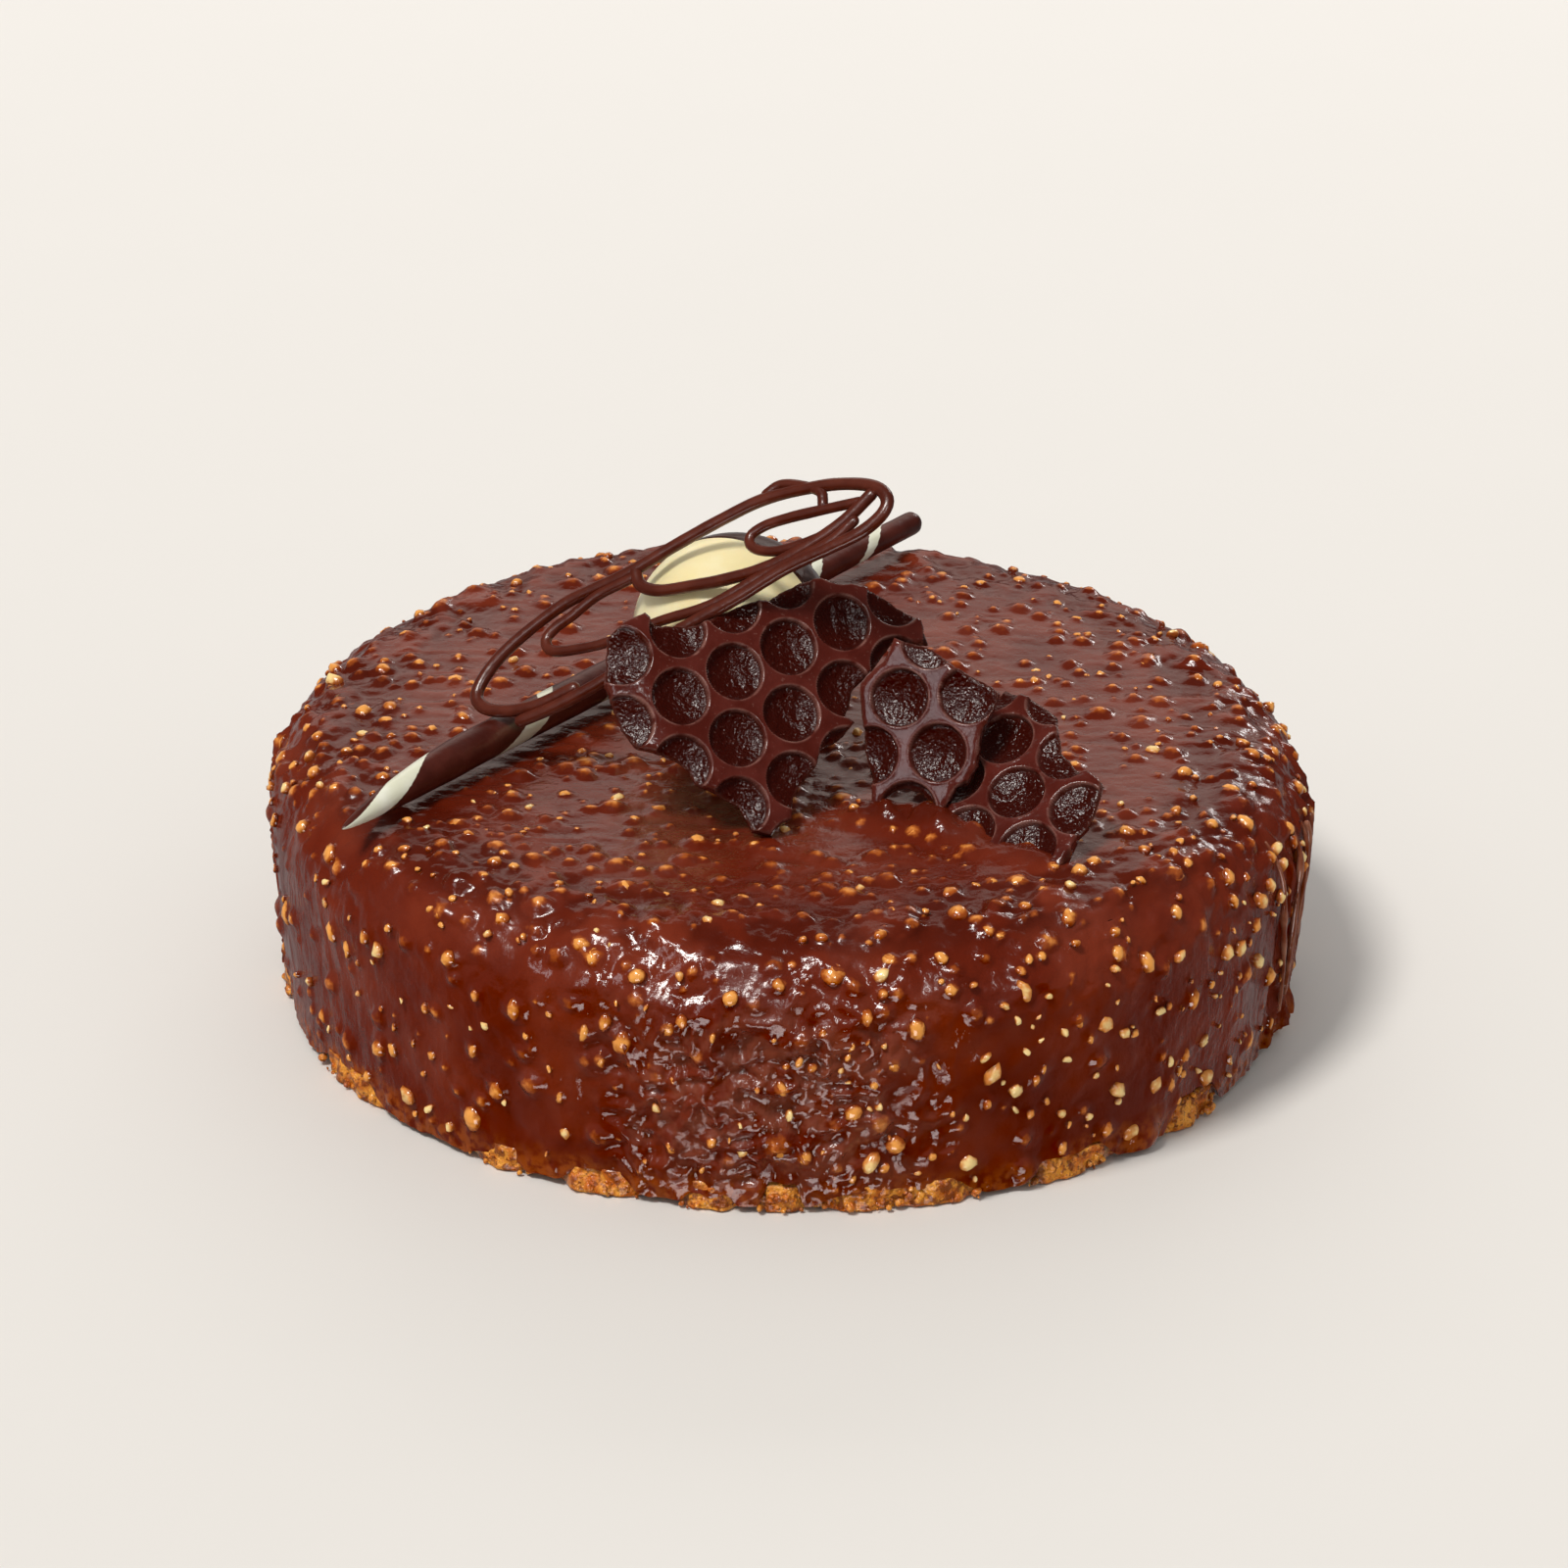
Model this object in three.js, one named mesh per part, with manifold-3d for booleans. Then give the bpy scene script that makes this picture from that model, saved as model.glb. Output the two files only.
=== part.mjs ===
// Chocolate hazelnut cake: a round cake under a glossy nut glaze, on a thin biscuit base,
// dressed with a two-tone chocolate ball, a chocolate pencil, a piped swirl and three
// pieces of chocolate sheet pressed with round dimples. Millimetres, +Z up, front at -Y.

import * as THREE from 'three';
import { mergeVertices } from 'three/addons/utils/BufferGeometryUtils.js';
import Module from 'manifold-3d';

const wasm = await Module();
wasm.setup();

// Driving dimensions

const gap = 0.3;                       // between pieces that touch

const cake = {
  height: 65,
  radius: 120,                         // at the top of the wall
  footRadius: 116.5,                   // at the bottom of the wall
  edgeRound: 20.5,                     // rounding of the top edge
  skirtLift: 1.1,                      // the glaze stops this far above the table
  wave: 0.7,                           // unevenness of the wall and edge
  segments: 60,
};

const biscuit = {
  radius: 113,
  thickness: 6.6,
  rim: 0.8,                            // bevel of the lower edge
  crumb: 4.4,                          // radius of a crumb that comes out
  crumbSpacing: 10,
  segments: 48,
};

const ball = {
  radius: 23.4,
  x: -12.9,
  y: -6.4,
  turn: -26.8,                         // the way the ivory half faces, from the front
  rise: 3.2,
  sides: 18,
};

const pencil = {
  radius: 4.4,
  endRadius: 2.9,
  tip: [-98, -63.9],                   // seen from above
  end: [29.4, 104.1],
  tipDrop: 3.4,                        // the drawn-out tip sags to its lower edge
  tipLength: 46,
  sides: 10,
  rings: 18,
};

const swirl = {
  radius: 1.5,
  fineRadius: 1.25,
  turn: -43,                           // the way its flat side faces, from the front
  rise: 44,                            // how far that side faces up
};

const sheet = {
  thickness: 3.2,
  dimpleRadius: 6.4,
  dimpleFloor: 4.7,                    // radius of a dimple's flat floor
  dimpleDepth: 2.3,
  dimpleSides: 11,
};

const nuts = {
  count: 178,
  largest: 4.2,                        // radius of a lump
  smallest: 2.5,
  sink: 0.5,                           // share of its radius that lies below the glaze
  scatter: 10,                         // degrees
  seed: 24,
};

// No nut stands this near to the middle of what rests on the glaze, or to an opening.
const clearOfNuts = { ball: 14, strip: 9, opening: 5, openingHeight: 16 };

const glazeDrip = { turn: 78, radius: 114.5, size: [5.5, 9.5, 7.5], height: 4.2 };

// Places round the foot where the biscuit shows below the glaze: the turn from the
// front in degrees, and the width and height of the opening in millimetres.
const openings = [
  { turn: -58, wide: 30, high: 5.5 },
  { turn: -20.5, wide: 13, high: 4.5 },
  { turn: -0.5, wide: 9.5, high: 12 },
  { turn: 10.5, wide: 12, high: 7 },
  { turn: 33.5, wide: 24, high: 7 },
  { turn: 53, wide: 20, high: 8.5 },
  { turn: 104, wide: 26, high: 6 },
  { turn: 139, wide: 16, high: 7 },
  { turn: 171, wide: 28, high: 5.5 },
  { turn: 207, wide: 14, high: 6.5 },
  { turn: 243, wide: 24, high: 6 },
  { turn: 276, wide: 15, high: 5 },
];

const colours = {
  glaze: 0x4a1c0f,
  biscuit: 0xb06a2c,
  ivory: 0xf1dc9c,
  dark: 0x2e120d,
  milk: 0x45190f,
};

// Shared tools

const radians = THREE.MathUtils.degToRad;

function seededRandom(seed) {
  let state = seed;
  return () => {
    state = (state + 0x6d2b79f5) | 0;
    let t = Math.imul(state ^ (state >>> 15), 1 | state);
    t = (t + Math.imul(t ^ (t >>> 7), 61 | t)) ^ t;
    return ((t ^ (t >>> 14)) >>> 0) / 4294967296;
  };
}

// A closed indexed geometry that holds positions only.
function weld(geometry, tolerance = 1e-4) {
  const bare = geometry.clone();
  bare.deleteAttribute('normal');
  bare.deleteAttribute('uv');
  const merged = mergeVertices(bare, tolerance);
  const index = merged.index.array;
  const kept = [];
  for (let i = 0; i < index.length; i += 3) {
    const [a, b, c] = [index[i], index[i + 1], index[i + 2]];
    if (a !== b && b !== c && c !== a) kept.push(a, b, c);
  }
  merged.setIndex(kept);
  return merged;
}

function toSolid(geometry) {
  const welded = weld(geometry);
  return new wasm.Manifold(new wasm.Mesh({
    numProp: 3,
    vertProperties: new Float32Array(welded.attributes.position.array),
    triVerts: new Uint32Array(welded.index.array),
  }));
}

function toGeometry(solid) {
  const mesh = solid.getMesh();
  const geometry = new THREE.BufferGeometry();
  geometry.setAttribute('position', new THREE.BufferAttribute(mesh.vertProperties, 3));
  geometry.setIndex(new THREE.BufferAttribute(mesh.triVerts, 1));
  return geometry;
}

// The largest body of a join or cut, without the loose scraps that it may leave.
function mainBody(solid) {
  const bodies = solid.decompose();
  return bodies.reduce((best, body) => (body.volume() > best.volume() ? body : best));
}

function moveVertices(geometry, move) {
  const place = geometry.attributes.position;
  const point = new THREE.Vector3();
  for (let i = 0; i < place.count; i++) {
    point.fromBufferAttribute(place, i);
    move(point);
    place.setXYZ(i, point.x, point.y, point.z);
  }
  return geometry;
}

// A profile of [radius, height] pairs turned about the upright axis.
function turned(profile, segments) {
  const points = profile.map(([radius, height]) => new THREE.Vector2(radius, height));
  return weld(new THREE.LatheGeometry(points, segments).rotateX(Math.PI / 2));
}

// A block given by its lowest and highest corners.
function block(low, high) {
  const size = high.map((value, i) => value - low[i]);
  const middle = high.map((value, i) => (value + low[i]) / 2);
  return toSolid(new THREE.BoxGeometry(...size).translate(...middle));
}

// A rough lump with few faces, turned at random about its centre.
function lump(size, centre, random) {
  const angles = [random(), random(), random()].map((value) => value * Math.PI * 2);
  const geometry = new THREE.IcosahedronGeometry(1, 0);
  geometry.applyMatrix4(new THREE.Matrix4().makeRotationFromEuler(new THREE.Euler(...angles)));
  geometry.scale(...size).translate(...centre);
  return geometry;
}

function finish(name, geometry, colour, roughness) {
  const material = new THREE.MeshStandardMaterial({ color: colour, roughness, metalness: 0 });
  const mesh = new THREE.Mesh(geometry, material);
  mesh.name = name;
  return mesh;
}

// A level direction turned from the front, or one that also rises.
function direction(turn, rise = 0) {
  const level = Math.cos(radians(rise));
  return new THREE.Vector3(
    level * Math.sin(radians(turn)),
    -level * Math.cos(radians(turn)),
    Math.sin(radians(rise)),
  );
}

// The turn of a flat piece whose face looks along a direction, with its own +X level.
function facingBasis(facing) {
  const across = new THREE.Vector3(0, 0, 1).cross(facing).normalize();
  const up = new THREE.Vector3().crossVectors(facing, across);
  return new THREE.Matrix4().makeBasis(across, up, facing);
}

// Everything below a height, as a block wider than the cake.
function allBelow(height) {
  const far = 2 * cake.radius;
  return block([-far, -far, height - far], [far, far, height]);
}

// Glazed cake

const wallTop = cake.height - cake.edgeRound;
const flatRadius = cake.radius - cake.edgeRound;

// A point of the glaze's outline, by the distance walked from the middle of the top
// over the edge and down the wall.
const edgeWalk = cake.edgeRound * Math.PI / 2;
const wholeWalk = flatRadius + edgeWalk + wallTop;

function outlinePoint(walk) {
  if (walk < flatRadius) return { radius: walk, height: cake.height, lean: Math.PI / 2 };
  if (walk < flatRadius + edgeWalk) {
    const lean = Math.PI / 2 - (walk - flatRadius) / cake.edgeRound;
    return {
      radius: flatRadius + cake.edgeRound * Math.cos(lean),
      height: wallTop + cake.edgeRound * Math.sin(lean),
      lean,
    };
  }
  const height = Math.max(wholeWalk - walk, 0);
  const share = height / wallTop;
  return { radius: THREE.MathUtils.lerp(cake.footRadius, cake.radius, share), height, lean: 0 };
}

// Slow waves of the glaze, from -1 to 1.
function glazeWave(turn, height) {
  return (Math.sin(5 * turn + height / 9) + Math.sin(11 * turn - height / 6 + 1.7)
    + Math.sin(17 * turn + height / 5 + 4.1)) / 3;
}

function glazeBody() {
  const ceiling = biscuit.thickness + gap;
  const recess = biscuit.radius + gap;
  const profile = [[0, ceiling], [recess, ceiling], [recess, cake.skirtLift]];
  const wallSteps = 5;
  const edgeSteps = 5;
  const topSteps = 2;
  profile.push([cake.footRadius - 0.6, cake.skirtLift]);
  for (let i = 1; i <= wallSteps; i++) {
    const { radius, height } = outlinePoint(wholeWalk - 3 - (wallTop - 3) * (i - 1) / wallSteps);
    profile.push([radius, height]);
  }
  for (let i = 0; i <= edgeSteps; i++) {
    const { radius, height } = outlinePoint(flatRadius + edgeWalk * (1 - i / edgeSteps));
    profile.push([radius, height]);
  }
  for (let i = topSteps - 1; i >= 0; i--) profile.push([flatRadius * i / topSteps, cake.height]);
  return moveVertices(turned(profile, cake.segments), (point) => {
    const radius = Math.hypot(point.x, point.y);
    if (point.z < cake.skirtLift + 0.1 || radius < flatRadius + 1) return;
    const turn = Math.atan2(point.y, point.x);
    const push = 1 + cake.wave * (glazeWave(turn, point.z) - 0.5) / radius;
    point.x *= push;
    point.y *= push;
    point.z += 0.5 * cake.wave * (glazeWave(turn + 1, point.z) - 1) * (point.z > wallTop ? 1 : 0);
  });
}

// Chopped nuts: turned by the golden angle and stepped by equal areas, so that they
// spread evenly over the top, the edge and the wall.
function walkForArea(share) {
  const steps = 400;
  let whole = 0;
  const sums = [0];
  for (let i = 0; i < steps; i++) {
    whole += outlinePoint(wholeWalk * (i + 0.5) / steps).radius;
    sums.push(whole);
  }
  const found = sums.findIndex((sum) => sum >= share * whole);
  return wholeWalk * found / steps;
}

function distanceToLine(x, y, [x0, y0], [x1, y1]) {
  const along = ((x - x0) * (x1 - x0) + (y - y0) * (y1 - y0)) / ((x1 - x0) ** 2 + (y1 - y0) ** 2);
  const t = THREE.MathUtils.clamp(along, 0, 1);
  return Math.hypot(x - x0 - t * (x1 - x0), y - y0 - t * (y1 - y0));
}

// The toppings stand on bare glaze: no nut lies under the ball, the pencil or a foot.
function underTopping(x, y) {
  const strips = [[pencil.tip, pencil.end], ...sheets.map(({ foot, footEnd }) => [foot, footEnd])];
  return Math.hypot(x - ball.x, y - ball.y) < clearOfNuts.ball
    || strips.some(([start, end]) => distanceToLine(x, y, start, end) < clearOfNuts.strip);
}

function inOpening(turn) {
  return openings.some((opening) => {
    const away = THREE.MathUtils.euclideanModulo(turn - opening.turn + 180, 360) - 180;
    return Math.abs(radians(away)) * cake.footRadius < opening.wide / 2 + clearOfNuts.opening;
  });
}

function choppedNuts() {
  const random = seededRandom(nuts.seed);
  const goldenAngle = 180 * (3 - Math.sqrt(5));
  const solids = [];
  for (let i = 0; i < nuts.count; i++) {
    const size = THREE.MathUtils.lerp(nuts.smallest, nuts.largest, random() ** 2);
    const stretch = [0.85, 1, 1.15].map((value) => size * (value + 0.2 * (random() - 0.5)));
    const walk = walkForArea((i + 0.5) / nuts.count);
    const { radius, height, lean } = outlinePoint(walk);
    const turn = i * goldenAngle + nuts.scatter * (random() - 0.5);
    const sunk = radius - nuts.sink * size * Math.cos(lean) - 0.3;
    const centre = direction(turn).multiplyScalar(sunk);
    centre.z = height - nuts.sink * size * Math.sin(lean);
    const geometry = lump(stretch, centre.toArray(), random);
    const onTop = height > wallTop;
    if (onTop && underTopping(centre.x, centre.y)) continue;
    if (height < cake.skirtLift + 1.3 * size) continue;
    if (height < clearOfNuts.openingHeight && inOpening(turn)) continue;
    solids.push(toSolid(geometry));
  }
  return solids;
}

// A curved wedge that opens the skirt over one stretch of the biscuit base.
function skirtCutter({ turn, wide, high }, shrink = 0) {
  const half = (wide / 2 - shrink) / cake.footRadius;
  const inside = biscuit.radius - 4;
  const outside = cake.footRadius + 9;
  const below = 2;
  const shape = new THREE.Shape();
  const centre = radians(turn - 90);
  shape.absarc(0, 0, outside, centre - half, centre + half, false);
  shape.absarc(0, 0, inside, centre + half, centre - half, true);
  const options = { depth: below + high - shrink, bevelEnabled: false, curveSegments: 4 };
  return toSolid(new THREE.ExtrudeGeometry(shape, options).translate(0, 0, -below));
}

function glazedCake() {
  const drip = new THREE.IcosahedronGeometry(1, 1).scale(...glazeDrip.size);
  drip.rotateZ(radians(glazeDrip.turn - 90));
  const dripCentre = direction(glazeDrip.turn).multiplyScalar(glazeDrip.radius);
  drip.translate(dripCentre.x, dripCentre.y, glazeDrip.height);
  const ceiling = biscuit.thickness + gap;
  const recess = biscuit.radius + gap;
  const core = turned([[0, -1], [recess, -1], [recess, ceiling], [0, ceiling]], cake.segments);
  let solid = wasm.Manifold.union([toSolid(glazeBody()), ...choppedNuts(), toSolid(drip)]);
  solid = solid.subtract(allBelow(cake.skirtLift));
  solid = solid.subtract(toSolid(core));
  solid = solid.subtract(wasm.Manifold.union(openings.map((opening) => skirtCutter(opening))));
  return finish('glazed_cake', toGeometry(mainBody(solid)), colours.glaze, 0.25);
}

// Biscuit base: a thin disc whose crumbs come out where the skirt is open.
function biscuitBase() {
  const random = seededRandom(nuts.seed + 1);
  const { radius, thickness, rim, crumb, crumbSpacing } = biscuit;
  const disc = toSolid(turned([[0, 0], [radius - rim, 0], [radius, rim],
    [radius, thickness], [0, thickness]], biscuit.segments));
  const crumbs = openings.map((opening) => {
    const count = Math.max(1, Math.round(opening.wide / crumbSpacing));
    const lumps = Array.from({ length: count }, (_, i) => {
      const away = (i + 0.5) / count - 0.5;
      const turn = opening.turn + THREE.MathUtils.radToDeg(away * opening.wide / cake.footRadius);
      const size = crumb * (0.85 + 0.4 * random());
      const centre = direction(turn).multiplyScalar(radius + 1.2 + random());
      centre.z = (0.25 + 0.35 * random()) * opening.high;
      return toSolid(lump([size, size, size * opening.high / 8], centre.toArray(), random));
    });
    return wasm.Manifold.union(lumps).intersect(skirtCutter(opening, gap));
  });
  const solid = wasm.Manifold.union([disc, ...crumbs]).subtract(allBelow(0));
  return finish('biscuit_base', toGeometry(mainBody(solid)), colours.biscuit, 0.8);
}

// Two-tone ball: two half balls that meet at a leaning seam.

const ballCentre = new THREE.Vector3(ball.x, ball.y, cake.height + gap + ball.radius);

function halfBall(name, side, colour) {
  const profile = [[0, gap / 2]];
  const steps = 7;
  for (let i = 0; i <= steps; i++) {
    const angle = Math.PI / 2 * i / steps;
    const height = gap / 2 + (ball.radius - gap / 2) * Math.sin(angle);
    profile.push([i === steps ? 0 : Math.sqrt(ball.radius ** 2 - height ** 2), height]);
  }
  const facing = direction(ball.turn, ball.rise).multiplyScalar(side);
  const half = finish(name, turned(profile, ball.sides), colour, 0.35);
  half.quaternion.setFromUnitVectors(new THREE.Vector3(0, 0, 1), facing);
  half.position.copy(ballCentre);
  return half;
}

// Chocolate pencil: a long roll drawn out to a point at the front.
function chocolatePencil() {
  const { radius, endRadius, tip, end, tipDrop, tipLength, sides, rings } = pencil;
  const start = new THREE.Vector2(...tip);
  const length = start.distanceTo(new THREE.Vector2(...end));
  const profile = [[0, 0]];
  for (let i = 1; i < rings; i++) {
    const along = length * (i / rings) ** 1.25;
    const point = Math.min(along / tipLength, 1);
    const thin = THREE.MathUtils.smoothstep(along, 0.45 * length, length);
    const body = THREE.MathUtils.lerp(radius, endRadius, thin);
    profile.push([body * Math.sin(point * Math.PI / 2) ** 0.8, along]);
  }
  profile.push([endRadius, length - 1.6], [0.6 * endRadius, length - 0.3], [0, length]);
  const roll = moveVertices(turned(profile, sides), (point) => {
    const back = Math.max(0, 1 - point.z / tipLength);
    point.x += tipDrop * back ** 1.6;
  });
  // The roll's own +X is turned to point down, and its length to run along the top.
  const along = new THREE.Vector3(end[0] - tip[0], end[1] - tip[1], 0).normalize();
  const down = new THREE.Vector3(0, 0, -1);
  const side = new THREE.Vector3().crossVectors(along, down);
  const mesh = finish('chocolate_pencil', roll, colours.milk, 0.35);
  mesh.quaternion.setFromRotationMatrix(new THREE.Matrix4().makeBasis(down, side, along));
  mesh.position.set(tip[0], tip[1], cake.height + gap + radius);
  return mesh;
}

// Piped swirl: flat loops of thin strands that lean on the ball and the pencil. The
// points lie in the swirl's own plane, from where it touches the ball.
const strands = [
  {
    radius: swirl.radius,
    points: [[-20.5, -42], [-13.5, -35.5], [-5, -25.5], [1, -16], [7.5, -7.5], [16, 2.5],
      [23.5, 12.5], [31.5, 20.5], [37.5, 27], [40, 32.5], [39, 36], [34.5, 37.5], [27.5, 36],
      [19.5, 32.5], [9, 26], [1.5, 18.5], [-7, 8.5], [-14.5, -1], [-21.5, -8], [-27, -14],
      [-33, -24.5], [-36, -33], [-36, -40], [-32.5, -42.5], [-26.5, -41.5], [-19, -37.5],
      [-12, -30.5]],
  },
  {
    radius: swirl.fineRadius,
    points: [[8.5, 27], [10.5, 30], [15, 31.5], [21.5, 32], [24, 29.5]],
  },
  {
    radius: swirl.fineRadius,
    points: [[-13, -2], [-19.5, -9], [-23, -15.5], [-25.5, -19.5], [-26, -23],
      [-22.5, -24.5], [-15, -21], [-9, -17], [0, -9], [10.5, -1], [20, 10.5], [30.5, 21.5],
      [34, 28.5]],
  },
  {
    radius: swirl.radius,
    points: [[-13.5, -0.5], [-10, -3], [-4.5, -2.5], [2.5, 1], [10.5, 5.5], [19.5, 12],
      [27, 20.5], [31.5, 27.5], [34.5, 35.5]],
  },
  {
    radius: swirl.fineRadius,
    points: [[32.5, 33], [22.5, 27], [17, 23.5], [12.5, 20], [10.5, 16.5], [13, 14.5],
      [18.5, 15.5], [24, 19], [27.5, 22]],
  },
];

function strand({ radius, points }) {
  const path = new THREE.CatmullRomCurve3(
    points.map(([across, up]) => new THREE.Vector3(across, up, 0)),
    false,
    'centripetal',
  );
  const sides = 6;
  const section = new THREE.Shape(Array.from({ length: sides }, (_, i) => {
    const angle = 2 * Math.PI * (i + 0.5) / sides;
    return new THREE.Vector2(radius * Math.cos(angle), radius * Math.sin(angle));
  }));
  const steps = Math.round(path.getLength() / 5.6);
  const tube = new THREE.ExtrudeGeometry(section, { steps, extrudePath: path });
  const caps = [points[0], points.at(-1)].map(([across, up]) => toSolid(
    new THREE.IcosahedronGeometry(radius * 1.02, 0).translate(across, up, 0),
  ));
  return wasm.Manifold.union([toSolid(tube), ...caps]);
}

function pipedSwirl() {
  const facing = direction(swirl.turn, swirl.rise);
  const solid = wasm.Manifold.union(strands.map(strand));
  const mesh = finish('piped_swirl', toGeometry(mainBody(solid)), colours.milk, 0.3);
  mesh.quaternion.setFromRotationMatrix(facingBasis(facing));
  mesh.position.copy(ballCentre).addScaledVector(facing, ball.radius + gap + swirl.radius);
  return mesh;
}

// Chocolate sheet, broken into pieces. Each piece is given by its foot, the way its
// dimpled face turns from the front and rises, and its outline from the foot, looking
// at that face. The dimples stand in slanting rows. The left side may curl back.
const sheets = [
  {
    name: 'sheet_left',
    foot: [-3.3, -62.2],
    footEnd: [-5, -60],
    footHeight: 66.5,
    turn: 24.2,
    rise: 40,
    curl: { start: -17, rate: 0.022 },
    outline: [[-25, 50.5], [-21, 53], [-16.5, 54], [-14, 51], [-4.5, 49.5], [7.5, 52.5],
      [13.5, 52.5], [22, 55.5], [28.5, 55], [36.5, 51.5], [42, 47.5], [47.5, 42], [48, 36.5],
      [39.5, 38], [33.5, 33], [28, 29.5], [24, 23], [25.5, 21.5], [21.5, 18.5], [16, 17],
      [14, 13], [7.5, 7.5], [5, 2.5], [0, 0], [-3.5, 1.5], [-5.5, 8], [-14, 14],
      [-14.5, 17.5], [-17.5, 20.5], [-25, 24.5], [-27, 29.5], [-28, 40]],
    dimples: { from: [0.8, 37.4], across: [13.9, 3.5], down: [-3.3, -15] },
  },
  {
    name: 'sheet_middle',
    foot: [33, -52.3],
    footEnd: [18.2, -47.5],
    footHeight: 66.2,
    turn: -17.8,
    rise: 30.5,
    curl: { start: 0, rate: 0 },
    outline: [[-17, 38], [-18.5, 32.5], [-22, 28.5], [-23, 26.5], [-21, 19], [-19.5, 12],
      [-16.5, 5], [-15.5, 0.5], [-13.5, 0], [-13.5, 2.5], [-11, 4.5], [-8.5, 5.5], [-5.5, 5],
      [-2.5, 3], [0, 0], [1.5, 3], [2.5, 7], [5, 8.5], [6.5, 13], [6, 19.5], [8.5, 29.5],
      [-2.5, 33.5], [-8.5, 36.5]],
    dimples: { from: [-2.7, 14.2], across: [15.3, 2.9], down: [-4.5, -13.7] },
  },
  {
    name: 'sheet_right',
    foot: [54.9, -68.5],
    footEnd: [35.4, -56.3],
    footHeight: 65.3,
    turn: -32.1,
    rise: 53.9,
    curl: { start: -8, rate: 0.012 },
    outline: [[-29, 38], [-18.5, 36.5], [-13.5, 34.5], [-8.5, 26.5], [-2, 23], [0, 23.5],
      [5, 21.5], [5.5, 19], [6.5, 10.5], [5.5, 7.5], [6, 2], [4, -2.5], [-13.5, -3.5],
      [-23, 1], [-29, 7], [-32, 17], [-33, 28]],
    dimples: { from: [-12.5, 13.2], across: [15.5, 0.3], down: [-6.5, -12.3] },
  },
];

function curlDepth(across, { start, rate }) {
  return -rate * Math.max(0, start - across) ** 2;
}

// The sheet before it is broken: a flat slab with one side curled back.
function curledSlab({ outline, curl }) {
  const left = Math.min(...outline.map(([across]) => across)) - 2;
  const right = Math.max(...outline.map(([across]) => across)) + 2;
  const edges = [right];
  const curlSteps = 4;
  if (curl.rate > 0) {
    for (let i = 0; i <= curlSteps; i++) {
      edges.push(THREE.MathUtils.lerp(curl.start, left, i / curlSteps));
    }
  } else {
    edges.push(left);
  }
  const face = edges.map((across) => new THREE.Vector2(across, curlDepth(across, curl)));
  const back = face.map(({ x, y }) => new THREE.Vector2(x, y - sheet.thickness)).reverse();
  const reach = 2 * Math.max(...outline.map(([, up]) => up));
  const slab = new THREE.ExtrudeGeometry(
    new THREE.Shape([...face, ...back]),
    { depth: 2 * reach, bevelEnabled: false },
  );
  return toSolid(slab.rotateX(Math.PI / 2).translate(0, reach, 0));
}

function dimple(across, up, curl) {
  const { dimpleRadius, dimpleFloor, dimpleDepth, dimpleSides } = sheet;
  const bowl = turned([[0, -dimpleDepth], [dimpleFloor, -dimpleDepth],
    [dimpleRadius, -0.3], [dimpleRadius, 1], [0, 1]], dimpleSides);
  return toSolid(bowl.translate(across, up, curlDepth(across, curl)));
}

// Whether a dimple at this place would cut into the piece by more than a sliver.
function nearOutline(across, up, outline) {
  const reach = sheet.dimpleRadius - 1.2;
  const corners = outline.map(([x, y]) => Math.hypot(x - across, y - up));
  const inside = outline.reduce((crossed, [x1, y1], i) => {
    const [x0, y0] = outline.at(i - 1);
    const between = (y0 > up) !== (y1 > up);
    return between && across < x0 + (x1 - x0) * (up - y0) / (y1 - y0) ? !crossed : crossed;
  }, false);
  return inside || Math.min(...corners) < reach;
}

function brokenSheet(piece) {
  const { outline, curl, dimples } = piece;
  const shape = new THREE.Shape(outline.map(([across, up]) => new THREE.Vector2(across, up)));
  const cutDepth = 60;
  const cutter = new THREE.ExtrudeGeometry(shape, { depth: cutDepth, bevelEnabled: false });
  const bowls = [];
  const rows = 4;
  for (let i = -rows; i <= rows; i++) {
    for (let j = -rows; j <= rows; j++) {
      const across = dimples.from[0] + i * dimples.across[0] + j * dimples.down[0];
      const up = dimples.from[1] + i * dimples.across[1] + j * dimples.down[1];
      if (nearOutline(across, up, outline)) bowls.push(dimple(across, up, curl));
    }
  }
  const stand = facingBasis(direction(piece.turn, piece.rise))
    .setPosition(piece.foot[0], piece.foot[1], piece.footHeight);
  const solid = curledSlab(piece)
    .intersect(toSolid(cutter.translate(0, 0, -cutDepth / 2)))
    .subtract(wasm.Manifold.union(bowls));
  const trimmed = toSolid(toGeometry(solid).applyMatrix4(stand))
    .subtract(allBelow(cake.height + gap));
  return finish(piece.name, toGeometry(mainBody(trimmed)), colours.dark, 0.3);
}

// The whole cake, with the middle of its box over the origin.
const whole = new THREE.Group();
whole.add(
  glazedCake(),
  biscuitBase(),
  halfBall('ball_ivory', 1, colours.ivory),
  halfBall('ball_dark', -1, colours.dark),
  chocolatePencil(),
  pipedSwirl(),
  ...sheets.map(brokenSheet),
);
whole.updateMatrixWorld(true);
const middle = new THREE.Box3().setFromObject(whole, true).getCenter(new THREE.Vector3());
whole.position.set(-middle.x, -middle.y, 0);

export default whole;
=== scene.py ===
import math

import bpy
import numpy as np
from mathutils import Matrix, Vector
from mathutils.geometry import delaunay_2d_cdt
from mathutils.kdtree import KDTree


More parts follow.
